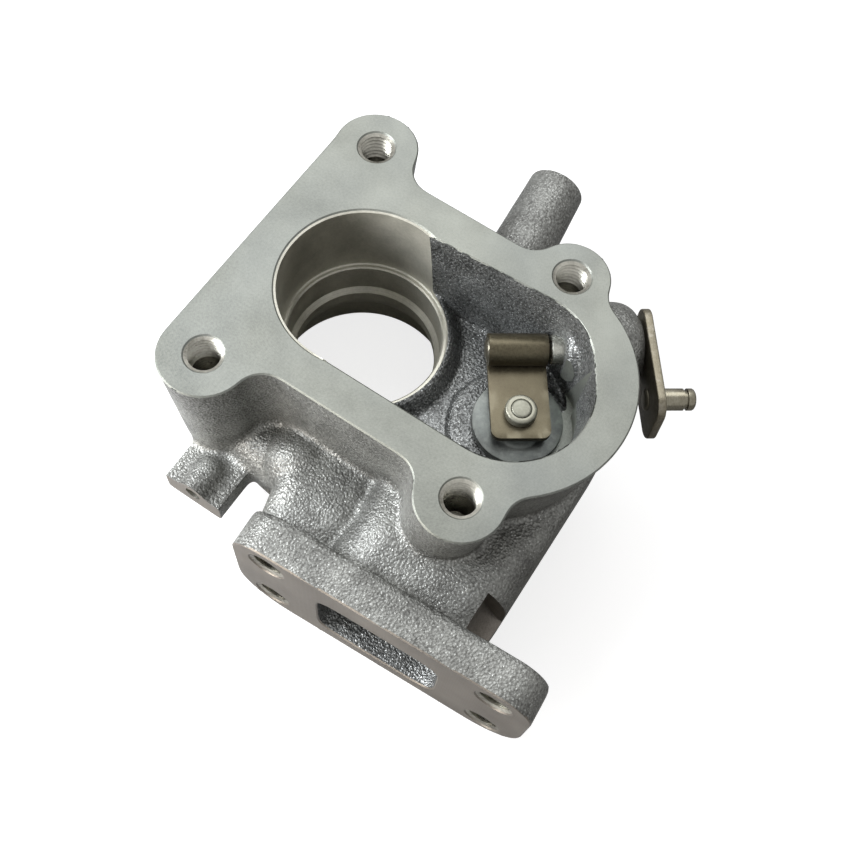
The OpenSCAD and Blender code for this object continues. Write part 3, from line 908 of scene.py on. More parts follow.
@dataclass
class Casting:
    """The housing: one casting, with its machined faces, bores and holes."""

    shop: Shop
    materials: list[bpy.types.Material] = field(default_factory=list)
    cast_voxel: float = 1.0
    cast_rounds: int = 7
    core_voxel: float = 0.8
    core_rounds: int = 5

    # The outlet flange and the drafted body under it
    height: float = 66.0
    proud: float = 4.0
    draft: float = 0.93
    draft_x: float = -35.2
    body_foot_z: float = 22.0
    outline_below: float = 1.5
    outlet_holes: tuple[tuple[float, float], ...] = (
        (-23.5, 39.6), (-22.6, -40.6), (44.0, 35.0), (53.3, -36.2))

    # The scroll and its straight run: each pair is the start's and the end's
    scroll_wall: float = 5.0
    scroll_r: float = 31.0
    scroll_floor_z: float = 12.0
    scroll_turn: float = 315.0
    cast_turn: float = 303.0
    cast_start_y: float = 59.2
    passage_start_y: float = 78.0
    scroll_half_w: tuple[float, float] = (15.0, 4.5)
    scroll_half_h: tuple[float, float] = (10.5, 6.0)
    scroll_power: float = 0.8
    port_z: float = 20.5
    port_half_w: float = 19.0
    port_half_h: float = 13.5
    port_power: float = 0.34

    # The neck between the inlet flange and the scroll
    neck_left: float = 28.4
    neck_right: float = 76.8
    neck_floor: float = 6.2
    neck_roof: float = 42.2
    neck_corner: float = 12.0
    neck_mid_y: float = -46.2
    neck_end_y: float = -24.0
    neck_end: tuple[float, float] = (50.8, 3.3)
    neck_end_r: float = 26.0
    mass_right: float = 30.9
    mass_corner: float = 7.0
    bulge_r: float = 10.5
    bulge: tuple[float, float, float] = (4.5, -38.5, 26.0)

    # The inlet flange
    inlet_t: float = 11.4
    inlet_corners: tuple[tuple[float, float, float], ...] = (
        (36, 12.9, 9.5), (-36, 12.9, 9.5), (29.5, -6.4, 16), (-29.5, -6.4, 16))
    inlet_hole_w: float = 69.0
    inlet_hole_h: float = 27.0
    notch_r: float = 15.5
    notch_l: float = 12.0

    # The tapped holes, M10
    tap_r: float = 4.4
    tap_mouth_r: float = 5.3
    tap_tip: float = 2.2
    thread_pitch: float = 1.5
    thread_deep: float = 0.8
    outlet_tap_depth: float = 22.0
    inlet_tap_end: float = 0.6
    boss_tap_depth: float = 16.0

    # The blind boss, the lug with its round boss, and the shaft's boss
    boss_l: float = 36.2
    boss_r: float = 8.5
    boss_root_r: float = 9.8
    boss_sunk: float = 12.0
    lug_w: float = 19.0
    lug_l: float = 22.4
    lug_t: float = 8.5
    lug_corner: float = 2.5
    lug_z: float = 13.5
    lug_boss_r: float = 5.0
    lug_boss_l: float = 7.8
    lug_hole_r: float = 2.5
    lug_hole_depth: float = 11.0
    nose_start: float = 18.3
    nose_end: float = 34.0
    nose_r: float = 13.5
    nose_flat: float = 7.0
    bush_hole_r: float = 4.35

    # The wastegate's chamber, seat and port
    floor_z: float = 36.0
    core_x: float = 30.0
    core_lobes: tuple[tuple[float, float, float], ...] = ((14.3, 5.3, 20.5), (16.5, -1.7, 22.5))
    core_side: tuple[float, float] = (-24.2, 23.2)
    lip_r: tuple[float, float] = (29.7, 25.0)
    lip_z: tuple[float, float] = (34.0, 41.0)
    bush_boss_r: tuple[float, float] = (8.5, 11.5)
    bush_boss_ends: tuple[float, float] = (12.6, 28.6)
    seat: tuple[float, float] = (49.6, -0.2)
    seat_r: float = 18.0
    seat_z: float = 38.0
    pad_r: float = 17.8
    port_r: float = 9.5
    trim_r: float = 19.6
    trim_side: tuple[tuple[float, float, float], ...] = ((47, 9, 30), (62.5, 40, 80))

    # The turbine bore and the bearing side
    rim_r: float = 45.0
    rim_t: float = 3.0
    rim_neck_r: float = 41.5
    rim_top_z: float = 18.5
    register_r: float = 32.5
    register_depth: float = 4.0
    land_r: float = 27.5
    nozzle_r: float = 34.0
    nozzle_z: tuple[float, float] = (11.5, 18.5)
    throat_r: float = 21.0
    throat_z: float = 26.0
    step_r: float = 22.5
    step_z: float = 39.0
    bore_r: float = 24.0
    key_w: float = 4.0
    key_depth: float = 3.0
    key_lap: float = 2.0
    key_turn: float = 205.0

    @property
    def inlet_place(self) -> Matrix:
        """Returns the inlet face's frame: local X along it, Y up, Z out of it."""
        return moved(*INLET) @ turned(INLET_TURN, "Z") @ turned(90, "X")

    @property
    def lug_place(self) -> Matrix:
        """Returns the lug hole's frame, with Z out of the lug's end."""
        return moved(*LUG) @ turned(90, "X")

    @property
    def boss_place(self) -> Matrix:
        """Returns the blind boss's frame, with Z out along it."""
        return moved(*BOSS_ROOT) @ turned(BOSS_LEAN, "Z") @ turned(-90, "X")

    @property
    def slope(self) -> float:
        """Returns how much the drafted body widens per millimetre of height."""
        return (1 - self.draft) / (self.height - self.body_foot_z)

    def cutter(self, bm: Shape, name: str, skin: Skin, place: Matrix | None = None) -> Piece:
        """Finishes a cutting shape, whose faces carry the finish that the cut leaves.

        Args:
            bm: The shape in millimetres.
            name: Name of the helper object.
            skin: The finish of the cut.
            place: Matrix from the shape's own axes to the frame.

        Returns:
            The cutter.
        """
        return slotted(as_object(bm, name, place), self.materials, skin)

    def station(self, angle: float) -> tuple[float, ...]:
        """Works out the scroll's section at an angle.

        Args:
            angle: How far round the scroll it is, in degrees.

        Returns:
            Its place in X, Y and Z, its turn, half width, half height and squareness.
        """
        share = angle / self.scroll_turn
        a, b = lerp(*self.scroll_half_w, share), lerp(*self.scroll_half_h, share)
        r = self.scroll_r + a
        turn = math.radians(angle)
        return r * math.cos(turn), r * math.sin(turn), self.scroll_floor_z + b, turn, a, b, self.scroll_power

    def run_in(self, share: float, start_y: float) -> tuple[float, ...]:
        """Works out a section of the straight run from the inlet.

        Args:
            share: How far along the run it is, from 0 to 1.
            start_y: Distance from the turbine axis where the run starts.

        Returns:
            The same values as for a station of the scroll.
        """
        last = self.station(0)
        m = share * share * (3 - 2 * share)
        return (lerp(INLET[0], last[0], m), -start_y * (1 - share), lerp(self.port_z, last[2], m),
                math.radians(INLET_TURN) * (1 - m), lerp(self.port_half_w, last[4], m),
                lerp(self.port_half_h, last[5], m), lerp(self.port_power, last[6], m))

    def scroll(self, start_y: float, end: float, grow: float) -> Shape:
        """Lofts the scroll from its straight run to the end of its spiral.

        Args:
            start_y: Distance from the turbine axis where the run starts.
            end: Angle where the spiral ends, in degrees.
            grow: How much wider than the gas passage it is.

        Returns:
            The closed shape.
        """
        run, round_it = 10, 46
        stations = [self.run_in(i / run, start_y) for i in range(run)]
        stations += [self.station(end * i / round_it) for i in range(round_it + 1)]

        def section(place: tuple[float, ...]) -> Callable[[float], Vector]:
            """Makes the function that gives points round one section.

            Args:
                place: The section's values.

            Returns:
                The function from the angle round the section to a point.
            """
            x, y, z, turn, a, b, power = place

            def point(t: float) -> Vector:
                """Finds the point at an angle round the section.

                Args:
                    t: The angle.

                Returns:
                    The point.
                """
                w = (a + grow) * math.copysign(abs(math.cos(t)) ** power, math.cos(t))
                h = (b + grow) * math.copysign(abs(math.sin(t)) ** power, math.sin(t))
                return Vector((x + w * math.cos(turn), y + w * math.sin(turn), z + h))
            return point
        return lofted([section(s) for s in stations], 48)

    def body(self) -> Shape:
        """Draws the flange's outline from the frame's own node and extrudes the drafted body down from it.

        Returns:
            The closed shape, which stands proud of the outlet face for the milling cutter.
        """
        bm = bmesh.new()
        bm.from_mesh(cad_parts["turbine_housing"].data)
        bm.transform(Matrix.Scale(1 / MM, 4))
        bmesh.ops.remove_doubles(bm, verts=bm.verts, dist=1e-3)
        bmesh.ops.bisect_plane(
            bm, geom=bm.verts[:] + bm.edges[:] + bm.faces[:], dist=1e-4,
            plane_co=(0, 0, self.height - self.outline_below), plane_no=(0, 0, 1), clear_inner=True,
            clear_outer=True,
        )
        start = min(bm.verts, key=lambda v: v.co.x)
        kept, queue = {start}, [start]
        while queue:
            for edge in queue.pop().link_edges:
                for vert in edge.verts:
                    if vert not in kept:
                        kept.add(vert)
                        queue.append(vert)
        bmesh.ops.delete(bm, geom=[v for v in bm.verts if v not in kept], context="VERTS")
        bmesh.ops.contextual_create(bm, geom=bm.edges[:])
        pivot = moved(self.draft_x, 0)
        wide = 1 + self.slope * self.proud
        for vert in bm.verts:
            vert.co.z = 0
        bm.transform(pivot @ Matrix.Scale(wide, 4) @ pivot.inverted())
        made = bmesh.ops.extrude_face_region(bm, geom=bm.faces[:])
        lower = [v for v in made["geom"] if isinstance(v, bmesh.types.BMVert)]
        share = self.draft / wide
        bmesh.ops.scale(bm, vec=(share, share, 1), verts=lower, space=pivot.inverted())
        bmesh.ops.translate(bm, vec=(0, 0, self.body_foot_z), verts=lower)
        upper = [v for v in bm.verts if v not in set(lower)]
        bmesh.ops.translate(bm, vec=(0, 0, self.height + self.proud), verts=upper)
        bmesh.ops.recalc_face_normals(bm, faces=bm.faces)
        return bm

    def section(self, x1: float, x2: float, z1: float, z2: float, r: float, y: float) -> Shape:
        """Makes a thin upright plate with rounded corners, as one section of the neck.

        Args:
            x1: Left edge.
            x2: Right edge.
            z1: Lower edge.
            z2: Upper edge.
            r: Radius of the corners.
            y: Where it stands.

        Returns:
            The closed plate.
        """
        return placed(slab(x2 - x1, z2 - z1, r, 1), moved((x1 + x2) / 2, y, (z1 + z2) / 2) @ turned(90, "X"))

    def root(self, x1: float, x2: float, z1: float, z2: float, r: float) -> Shape:
        """Makes the neck's section at the back of the inlet flange.

        Args:
            x1: Left edge.
            x2: Right edge.
            z1: Lower edge.
            z2: Upper edge.
            r: Radius of the corners.

        Returns:
            The closed plate.
        """
        spot = moved((x1 + x2) / 2 - INLET[0], (z1 + z2) / 2 - INLET[2], -self.inlet_t)
        return placed(slab(x2 - x1, z2 - z1, r, 1), self.inlet_place @ spot)

    def neck(self) -> list[Shape]:
        """Wraps the neck between the inlet flange and the scroll.

        Returns:
            The gas tube, the lower mass beside it, and the bulge over the scroll's tongue.
        """
        left, right, floor, roof = self.neck_left, self.neck_right, self.neck_floor, self.neck_roof
        mid_y, end_y, corner, side = self.neck_mid_y, self.neck_end_y, self.neck_corner, self.mass_right
        end, end_r = moved(*self.neck_end), self.neck_end_r
        tube = hulled([
            self.root(left, right, 2.8, 38.5, corner),
            self.section(left, right, floor - 2, roof, corner, mid_y),
            self.section(left, right, floor, roof - 1.6, corner, end_y),
            placed(drum(end_r - 5, end_r, 14.2, 21.2), end), placed(drum(end_r, end_r, 23.2, 38.2), end),
        ])
        corner = self.mass_corner
        mass = hulled([
            self.root(6, side + 0.5, 4.8, 32.0, corner),
            self.section(2.5, side, floor - 1.7, 34.8, corner, mid_y),
            self.section(-3.0, side, floor, 35.0, corner + 2, end_y),
        ])
        bulge = bmesh.new()
        bmesh.ops.create_uvsphere(bulge, u_segments=40, v_segments=20, radius=self.bulge_r)
        return [tube, mass, placed(bulge, moved(*self.bulge))]

    def inlet_flange(self) -> Shape:
        """Wraps the inlet flange round its four corners, proud of its face for the milling cutter.

        Returns:
            The closed shape.
        """
        corners = [
            placed(drum(r, r, -self.inlet_t, self.proud, 48), moved(x, y)) for x, y, r in self.inlet_corners
        ]
        return placed(hulled(corners), self.inlet_place)

    def lug(self) -> list[Shape]:
        """Makes the square lug and the round boss on its back, which ends in a dome.

        Returns:
            The plate, the boss and the dome.
        """
        plate = slab(self.lug_w, self.lug_l + self.proud, self.lug_corner, self.lug_t)
        mid_y = LUG[1] + (self.lug_l - self.proud) / 2
        dome = bmesh.new()
        bmesh.ops.create_uvsphere(dome, u_segments=48, v_segments=24, radius=self.lug_boss_r)
        return [
            placed(plate, moved(LUG[0], mid_y, self.lug_z)),
            placed(drum(self.lug_boss_r, self.lug_boss_r, -self.lug_boss_l, self.proud, 48), self.lug_place),
            placed(dome, self.lug_place @ moved(0, 0, -self.lug_boss_l)),
        ]

    def shaft_boss(self) -> Shape:
        """Makes the boss that holds the wastegate's bush, with a rounded nose.

        Returns:
            The closed shape.
        """
        start, end, flat = self.nose_start, self.nose_end, self.nose_flat
        sweep = [math.radians(t) for t in range(0, 81, 10)]
        nose = [(flat + (self.nose_r - flat) * math.cos(t), end - flat + flat * math.sin(t)) for t in sweep]
        profile = [(0, start), (self.nose_r, start), *nose, (flat, end + self.proud), (0, end + self.proud)]
        return placed(spun(profile), shaft_place())

    def rim(self) -> Shape:
        """Makes the rim on the bearing side, with its slope for the band clamp.

        Returns:
            The closed shape.
        """
        r, neck, edge, top = self.rim_r, self.rim_neck_r, self.rim_t, self.rim_top_z
        return spun([
            (0, -self.proud), (r, -self.proud), (r, edge), (neck, edge + r - neck), (neck, top), (0, top),
        ])

    def rough_casting(self) -> Piece:
        """Fuses the cast forms and rounds them.

        Returns:
            The casting before it is machined.
        """
        boss = drum(self.boss_root_r, self.boss_r, -self.boss_sunk, self.boss_l + self.proud)
        plate, round_boss, dome = self.lug()
        forms = [
            self.body(), self.scroll(self.cast_start_y, self.cast_turn, self.scroll_wall), *self.neck(),
            self.inlet_flange(), placed(boss, self.boss_place), plate, round_boss, self.shaft_boss(),
            self.rim(), dome,
        ]
        return softened(as_object(gathered(forms), "turbine_housing_skin"), self.cast_voxel, self.cast_rounds)

    def thread(self, depth: float, turns: int = 6) -> Shape:
        """Makes the cutter of a tapped hole, its mouth at z = 0.

        Args:
            depth: Depth of the hole.
            turns: Number of thread grooves that show below the mouth.

        Returns:
            The closed cutter.
        """
        r, groove, pitch = self.tap_r, self.tap_r + self.thread_deep, self.thread_pitch
        mouth = -(self.tap_mouth_r - r)
        points: list[tuple[float, float]] = [(0, -depth - self.tap_tip), (r, -depth)]
        for i in range(turns):
            z = mouth - turns * pitch + i * pitch
            points += [(r, z), (groove, z + 0.4 * pitch), (groove, z + 0.5 * pitch), (r, z + 0.9 * pitch)]
        points += [(r, mouth), (self.tap_mouth_r + 1, 1), (0, 1)]
        return spun(points, 40)

    def chamber(self) -> Piece:
        """Makes the core of the wastegate chamber, with its cast lip, seat pad and bush boss.

        Returns:
            The cutter.
        """
        wide = 1 + (1 - self.draft) / (self.height - self.floor_z) * self.proud
        x, (low_y, high_y) = self.core_x, self.core_side

        def at(z: float, share: float) -> list[Shape]:
            """Makes the outline's circles and flat end as thin plates.

            Args:
                z: Height of the plates.
                share: How far the draft has narrowed them.

            Returns:
                The plates.
            """
            top = z + 0.01
            plates = [placed(drum(r * share, r * share, z, top, 72), moved(x + lobe_x * share, y * share))
                      for lobe_x, y, r in self.core_lobes]
            plates.append(block((x - x * share, low_y * share, z), (x + 1 - x * share, high_y * share, top)))
            return plates
        ends = at(self.floor_z, self.draft) + at(self.height + self.proud, wide)
        core = as_object(hulled(ends), "chamber_core")
        lip = as_object(drum(*self.lip_r, *self.lip_z, 96), "lip")
        pad_r, low = self.pad_r, self.lip_z[0]
        pad = as_object(drum(pad_r, pad_r, low, self.seat_z, 96), "pad", moved(*self.seat))
        boss = as_object(drum(*self.bush_boss_r, *self.bush_boss_ends), "bush_boss", shaft_place())
        softened(carve(core, [lip, pad, boss]), self.core_voxel, self.core_rounds)
        return slotted(core, self.materials, Skin.HOLLOW)

    def bore(self) -> Piece:
        """Makes the turbine bore's cutter, from the outlet face down to the bearing register.

        Returns:
            The cutter.
        """
        register, deep, land, nozzle = self.register_r, self.register_depth, self.land_r, self.nozzle_r
        throat, step, step_z, wide = self.throat_r, self.step_r, self.step_z, self.bore_r
        low, high = self.nozzle_z
        sweep = [math.radians(t) for t in range(0, 91, 10)]
        profile = [
            (0, -6), (register + 1.5, -6), (register + 1.5, -1.5), (register, 0), (register, deep),
            (land, deep), (land, low), (nozzle, low), (nozzle, high),
            *((throat + 3.5 - 3.5 * math.sin(t), self.throat_z - 7.5 * math.cos(t)) for t in sweep),
            (throat, step_z - 11.5), (step, step_z - 10), (step, step_z), (step + 0.4, step_z + 0.4),
            (wide - 0.4, step_z + 0.4), (wide, step_z + 0.8), (wide, self.height - 0.6),
            (wide + 1.6, self.height + 1), (wide + 1.6, self.height + 6), (0, self.height + 6),
        ]
        return self.cutter(spun(profile, 144), "bore", Skin.TURNED)

    def planes(self) -> list[Piece]:
        """Makes the blocks that mill the flat faces. Away from its face, a block reaches past the casting.

        Returns:
            The cutters.
        """
        top = self.height
        return [
            self.cutter(block((-90, -120, top), (140, 120, 100)), "outlet_cut", Skin.MILLED),
            self.cutter(block((-90, -120, -30), (140, 120, 0)), "bearing_cut", Skin.MILLED),
            self.cutter(block((-80, -50, 0), (80, 50, 30)), "inlet_cut", Skin.INLET, self.inlet_place),
            self.cutter(block((-20, -20, self.boss_l), (20, 20, 60)), "boss_cut", Skin.MILLED,
                        self.boss_place),
            self.cutter(block((-40, -90, 10.5), (-5, LUG[1], 40)), "lug_cut", Skin.INLET),
            self.cutter(block((-12, -12, self.nose_end), (12, 12, 46)), "nose_cut", Skin.MILLED,
                        shaft_place()),
        ]

    def holes(self) -> list[Piece]:
        """Makes the taps of the two flanges and of the blind boss.

        Returns:
            The cutters.
        """
        cutters: list[Piece] = []
        for x, y in self.outlet_holes:
            spot = moved(x, y, self.height)
            cutters.append(self.cutter(self.thread(self.outlet_tap_depth), "outlet_tap", Skin.THREAD, spot))
        for x in (-0.5, 0.5):
            for y in (-0.5, 0.5):
                past = 0.0 if x < 0 and y < 0 else self.inlet_tap_end
                spot = self.inlet_place @ moved(x * self.inlet_hole_w, y * self.inlet_hole_h)
                cutters.append(self.cutter(self.thread(self.inlet_t + past), "inlet_tap", Skin.THREAD,
                                           spot @ turned(3 if x > 0 else 0, "Z")))
        far_hole = self.inlet_place @ moved(self.inlet_hole_w / 2, self.inlet_hole_h / 2)
        notch = drum(self.notch_r, self.notch_r, -self.inlet_t - self.notch_l, -self.inlet_t, 96)
        cutters.append(self.cutter(notch, "notch_cut", Skin.INLET, far_hole))
        boss_end = self.boss_place @ moved(0, 0, self.boss_l)
        cutters.append(self.cutter(self.thread(self.boss_tap_depth), "boss_tap", Skin.THREAD, boss_end))
        return cutters

    def machine(self, skin: Piece) -> Piece:
        """Mills, bores and taps the casting.

        Args:
            skin: The rough casting.

        Returns:
            The finished casting.
        """
        seat_spot = moved(*self.seat)
        trim = as_object(drum(self.trim_r, self.trim_r, self.seat_z, 72, 144), "trim_cut", seat_spot)
        limited(trim, as_object(block(*self.trim_side), "trim_side"))
        seat = drum(self.seat_r, self.seat_r, self.seat_z, 47, 128)
        port = drum(self.port_r, self.port_r, 22, 44, 72)
        bush = drum(self.bush_hole_r, self.bush_hole_r, 6, 41)
        lug_hole = drum(self.lug_hole_r, self.lug_hole_r, -self.lug_hole_depth, 1, 40)
        key_r, half_w = self.register_r + self.key_depth, self.key_w / 2
        key = block((-half_w, -key_r, -self.register_depth),
                    (half_w, self.key_lap - self.register_r, self.register_depth))
        cutters = [
            *self.planes(), self.chamber(), self.bore(),
            self.cutter(self.scroll(self.passage_start_y, self.scroll_turn, 0), "passage", Skin.HOLLOW),
            self.cutter(seat, "seat_cut", Skin.SEAT, seat_spot),
            self.cutter(port, "port_cut", Skin.SEAT, moved(*VALVE)), slotted(trim, self.materials, Skin.SEAT),
            self.cutter(bush, "bush_cut", Skin.THREAD, shaft_place()),
            self.cutter(lug_hole, "lug_hole", Skin.THREAD, self.lug_place), *self.holes(),
            self.cutter(key, "key_cut", Skin.MILLED, turned(self.key_turn + 90, "Z")),
        ]
        return carve(skin, cutters)

    def break_edges(self, obj: Piece, face: Matrix, skin: Skin, width: float = 0.4) -> None:
        """Gives a machined face its fine broken edge.

        The face's triangles are joined first where that keeps its area, so that it shades evenly.

        Args:
            obj: The casting.
            face: Frame of the machined face, whose local Z points out of it.
            skin: The finish of the face.
            width: Width of the broken edge in millimetres.
        """
        spot, out = Vector(face.translation) * MM, Vector(face.col[2][:3])

        def level_faces(mesh: Shape) -> list[bmesh.types.BMFace]:
            """Finds the faces of the machined plane.

            Args:
                mesh: The casting's mesh.

            Returns:
                The faces.
            """
            return [f for f in mesh.faces if f.material_index == skin and f.normal.dot(out) > 0.99
                    and abs((f.calc_center_median() - spot).dot(out)) < 1e-5]

        bm = bmesh.new()
        bm.from_mesh(obj.data)
        joined = bm.copy()
        flat = set(level_faces(joined))
        seams = {e for f in flat for e in f.edges if all(other in flat for other in e.link_faces)}
        bmesh.ops.dissolve_limit(
            joined, angle_limit=0.01, use_dissolve_boundaries=False, verts=[], edges=list(seams))
        area = [sum(f.calc_area() for f in level_faces(mesh)) for mesh in (bm, joined)]
        whole = abs(area[0] - area[1]) < 1e-8
        LOG.info("machined plane: %.1f mm2, %.1f mm2 when joined", area[0] * 1e6, area[1] * 1e6)
        if whole:
            bm, joined = joined, bm
        joined.free()
        flat = level_faces(bm)
        made = bmesh.ops.inset_region(
            bm, faces=flat, faces_exclude=[], use_boundary=True, use_even_offset=False, use_interpolate=True,
            use_relative_offset=False, use_edge_rail=False, thickness=width * MM, depth=0.0, use_outset=False,
        )
        level = set(flat) | set(made["faces"])
        rim = {v for f in made["faces"] for v in f.verts if any(other not in level for other in v.link_faces)}
        bmesh.ops.translate(bm, vec=out * (-width * MM), verts=list(rim))
        if whole:
            wide = [f for f in flat if f.is_valid]
            bmesh.ops.triangulate(bm, faces=wide, quad_method="BEAUTY", ngon_method="BEAUTY")
        LOG.info("broken edge: %d rim points", len(rim))
        bm.to_mesh(obj.data)
        bm.free()

    def build(self) -> Piece:
        """Builds and dresses the casting.

        Returns:
            The finished piece.
        """
        self.materials = [self.shop.material(*CAST_SKINS[skin]) for skin in Skin]
        obj = self.machine(slotted(self.rough_casting(), self.materials, Skin.CAST))
        self.break_edges(obj, moved(0, 0, self.height), Skin.MILLED)
        self.break_edges(obj, self.inlet_place, Skin.INLET)
        crisp(obj, SHARP_ANGLE)
        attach(obj, Body.HOUSING.value)
        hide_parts("turbine_housing")
        return obj


# The wastegate


@dataclass
class Wastegate:
    """The wastegate: bush, shaft, strap arm, valve, washer, lever, pin and welds."""

    shop: Shop
    shaft_r: float = 2.6
    bush_r: float = 4.3
    bush_start: float = 8.6
    bush_end: float = 34.3
    running_gap: float = 0.05
    strap_t: float = 2.0
    strap_w: float = 16.6
    strap_tip: float = 7.6
    strap_corner: float = 2.6
    stem_hole_r: float = 3.05
    lever_at: float = 34.8
    lever_t: float = 2.4
    lever_w: float = 18.6
    lever_l: float = 25.5
    lever_back: float = 10.0
    lever_corner: float = 5.0
    lever_rise: float = 5.5
    pin_at: float = 15.5
    pin_r: float = 3.1
    pin_l: float = 11.2
    bead_r: float = 1.6
    disc_z: float = 38.1
    disc_t: float = 3.0
    disc_r: float = 12.9
    tongue_z: float = 44.4
    washer_r: float = 4.5
    washer_t: float = 2.8
    washer_gap: float = 0.1
    head_r: float = 2.7

    @property
    def washer_z(self) -> float:
        """Returns the height of the washer's lower face, above the arm's tongue."""
        return self.tongue_z + self.strap_t + self.washer_gap

    def dress(self, obj: Piece, body: Body, node: str, finish: Finish) -> Piece:
        """Gives a piece its material and its place in the frame.

        Args:
            obj: The piece.
            body: The body that it rides on.
            node: The frame's node that it replaces.
            finish: Its finish.

        Returns:
            The piece.
        """
        obj.data.materials.clear()
        obj.data.materials.append(self.shop.material(node + "_metal", finish))
        for poly in obj.data.polygons:
            poly.material_index = 0
        crisp(obj, SHARP_ANGLE)
        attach(obj, body.value)
        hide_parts(node)
        return obj

    def axis_turn(self) -> Matrix:
        """Finds the turn of the ring pattern onto the shaft's axis.

        Returns:
            The matrix, in metres.
        """
        spot = shaft_place()
        z = Vector(spot.col[2][:3])
        made = z.to_track_quat("Z", "Y").to_matrix().to_4x4()
        made.translation = Vector(spot.translation) * MM
        return made

    def valve_turn(self) -> Matrix:
        """Returns the move of the ring pattern onto the valve's axis, in metres."""
        return Matrix.Translation(Vector((*VALVE, 0)) * MM)

    def bush(self) -> Piece:
        """Turns the bush, with a stepped chamfer at each end.

        Returns:
            The piece.
        """
        r, hole, a, b = self.bush_r, self.shaft_r + self.running_gap, self.bush_start, self.bush_end
        section = [
            (hole + 0.25, a), (r - 1.0, a), (r - 0.7, a + 0.25), (r - 0.55, a + 0.3), (r, a + 0.85),
            (r, b - 0.8), (r - 0.6, b), (hole + 0.2, b), (hole, b - 0.25), (hole, a + 0.25),
        ]
        finish = TurnedFinish(dark=tone(128, 128, 120), light=tone(196, 196, 188), matt=0.26, metal=0.9,
                              bump=0.1, relief=0.02, rings=900.0, turn=self.axis_turn())
        obj = as_object(spun(section, 80, ring=True), "bush", shaft_place())
        return self.dress(obj, Body.HOUSING, "wastegate_bush", finish)

    def shaft(self) -> Piece:
        """Turns the shaft, with a small chamfer at each end.

        Returns:
            The piece.
        """
        r, a, b, edge = self.shaft_r, -self.strap_w / 2 + 0.6, self.lever_at + self.lever_t + 0.4, 0.4
        profile = [(0, a), (r - edge, a), (r, a + edge), (r, b - edge), (r - edge, b), (0, b)]
        finish = TurnedFinish(dark=tone(110, 106, 96), light=tone(176, 172, 160), matt=0.3, metal=0.9,
                              bump=0.1, relief=0.02, turn=self.axis_turn())
        obj = as_object(spun(profile, 64), "shaft", shaft_place())
        return self.dress(obj, Body.ARM, "wastegate_shaft", finish)

    def strap(self) -> Piece:
        """Wraps the strap arm round the shaft, with a seam where its end comes back to the tongue.

        Returns:
            The piece.
        """
        mid, tip, steps = self.shaft_r + self.strap_t / 2, ARM_L + self.strap_tip, 12
        sweep = [math.radians(t) for t in range(-90, -386, -5)]
        path = [(tip * (1 - i / steps), -mid) for i in range(steps)]
        path += [(mid * math.cos(t), mid * math.sin(t)) for t in sweep]
        bm = bmesh.new()
        verts = [bm.verts.new((x, y, -self.strap_w / 2)) for x, y in path]
        edges = [bm.edges.new(pair) for pair in zip(verts, verts[1:])]
        for _ in range(steps):
            made = bmesh.ops.extrude_edge_only(bm, edges=edges)
            across = [v for v in made["geom"] if isinstance(v, bmesh.types.BMVert)]
            bmesh.ops.translate(bm, vec=(0, 0, self.strap_w / steps), verts=across)
            edges = [e for e in made["geom"] if isinstance(e, bmesh.types.BMEdge)
                     and all(v in across for v in e.verts) and abs(e.verts[0].co.z - e.verts[1].co.z) < 1e-6]
        obj = as_object(bm, "strap_arm", shaft_place())
        thick = obj.modifiers.new("sheet", "SOLIDIFY")
        thick.thickness = self.strap_t * MM
        thick.offset = 0.0
        thick.use_even_offset = True
        settle(obj)
        past = 30
        outline = slab(tip + past, self.strap_w, self.strap_corner, 12)
        spot = shaft_place() @ moved((tip - past) / 2, 6) @ turned(90, "X")
        limited(obj, as_object(outline, "strap_outline", spot))
        hole = drum(self.stem_hole_r, self.stem_hole_r, 40, 50, 48)
        carve(obj, [as_object(hole, "stem_hole", moved(*VALVE))])
        bevelled(obj, 0.3, 3, 45)
        # Its lightened edges are partly rubbed metal, partly a painted highlight.
        finish = MilledFinish(
            dark=tone(64, 58, 44), light=tone(90, 84, 67), matt=0.38, metal=0.75, bump=0.12, relief=0.03,
            tint=tone(96, 88, 74), tinted=0.3, wear_and_glint=0.12, worn_glint=tone(168, 162, 142))
        return self.dress(obj, Body.ARM, "swing_arm", finish)

    def flap(self) -> Piece:
        """Turns the valve's disc with its hub and stem.

        Returns:
            The piece.
        """
        z, top, r, shoulder = self.disc_z, self.disc_z + self.disc_t, self.disc_r, self.tongue_z + 2.1
        profile = [
            (0, z + 0.6), (7.5, z + 0.6), (8.1, z), (r - 0.6, z), (r, z + 0.6), (r, top - 0.3),
            (r - 0.1, top - 0.08), (r - 0.3, top), (8.6, top), (7.9, top + 0.15), (7.3, top + 0.5),
            (5.4, top + 2.5), (4.9, top + 2.95), (4.3, top + 3.1), (3.0, top + 3.1), (3.0, shoulder),
            (0, shoulder),
        ]
        # Its lightened rim is partly rubbed metal, partly a painted highlight.
        finish = TurnedFinish(
            dark=tone(76, 79, 78), light=tone(112, 116, 112), matt=0.36, metal=0.8, bump=0.2, relief=0.04,
            rings=300.0, wear_and_glint=0.3, worn_glint=tone(190, 192, 186), turn=self.valve_turn())
        obj = as_object(spun(profile, 96), "flap_valve", moved(*VALVE))
        return self.dress(obj, Body.FLAP, "wastegate_valve", finish)

    def stem(self) -> Piece:
        """Turns the pressed head of the valve's stem, which shows in the washer.

        Returns:
            The piece.
        """
        low, head, r = self.tongue_z + 2.0, self.washer_z + self.washer_t, self.head_r
        profile = [(0, low), (r, low), (r, head + 0.02), (r - 0.2, head + 0.2), (r - 0.5, head + 0.26),
                   (0, head + 0.26)]
        finish = TurnedFinish(dark=tone(108, 107, 95), light=tone(146, 146, 134), matt=0.42, metal=0.6,
                              bump=0.12, relief=0.03, rings=400.0, turn=self.valve_turn())
        obj = as_object(spun(profile, 72), "valve_stem", moved(*VALVE))
        return self.dress(obj, Body.FLAP, "wastegate_valve", finish)

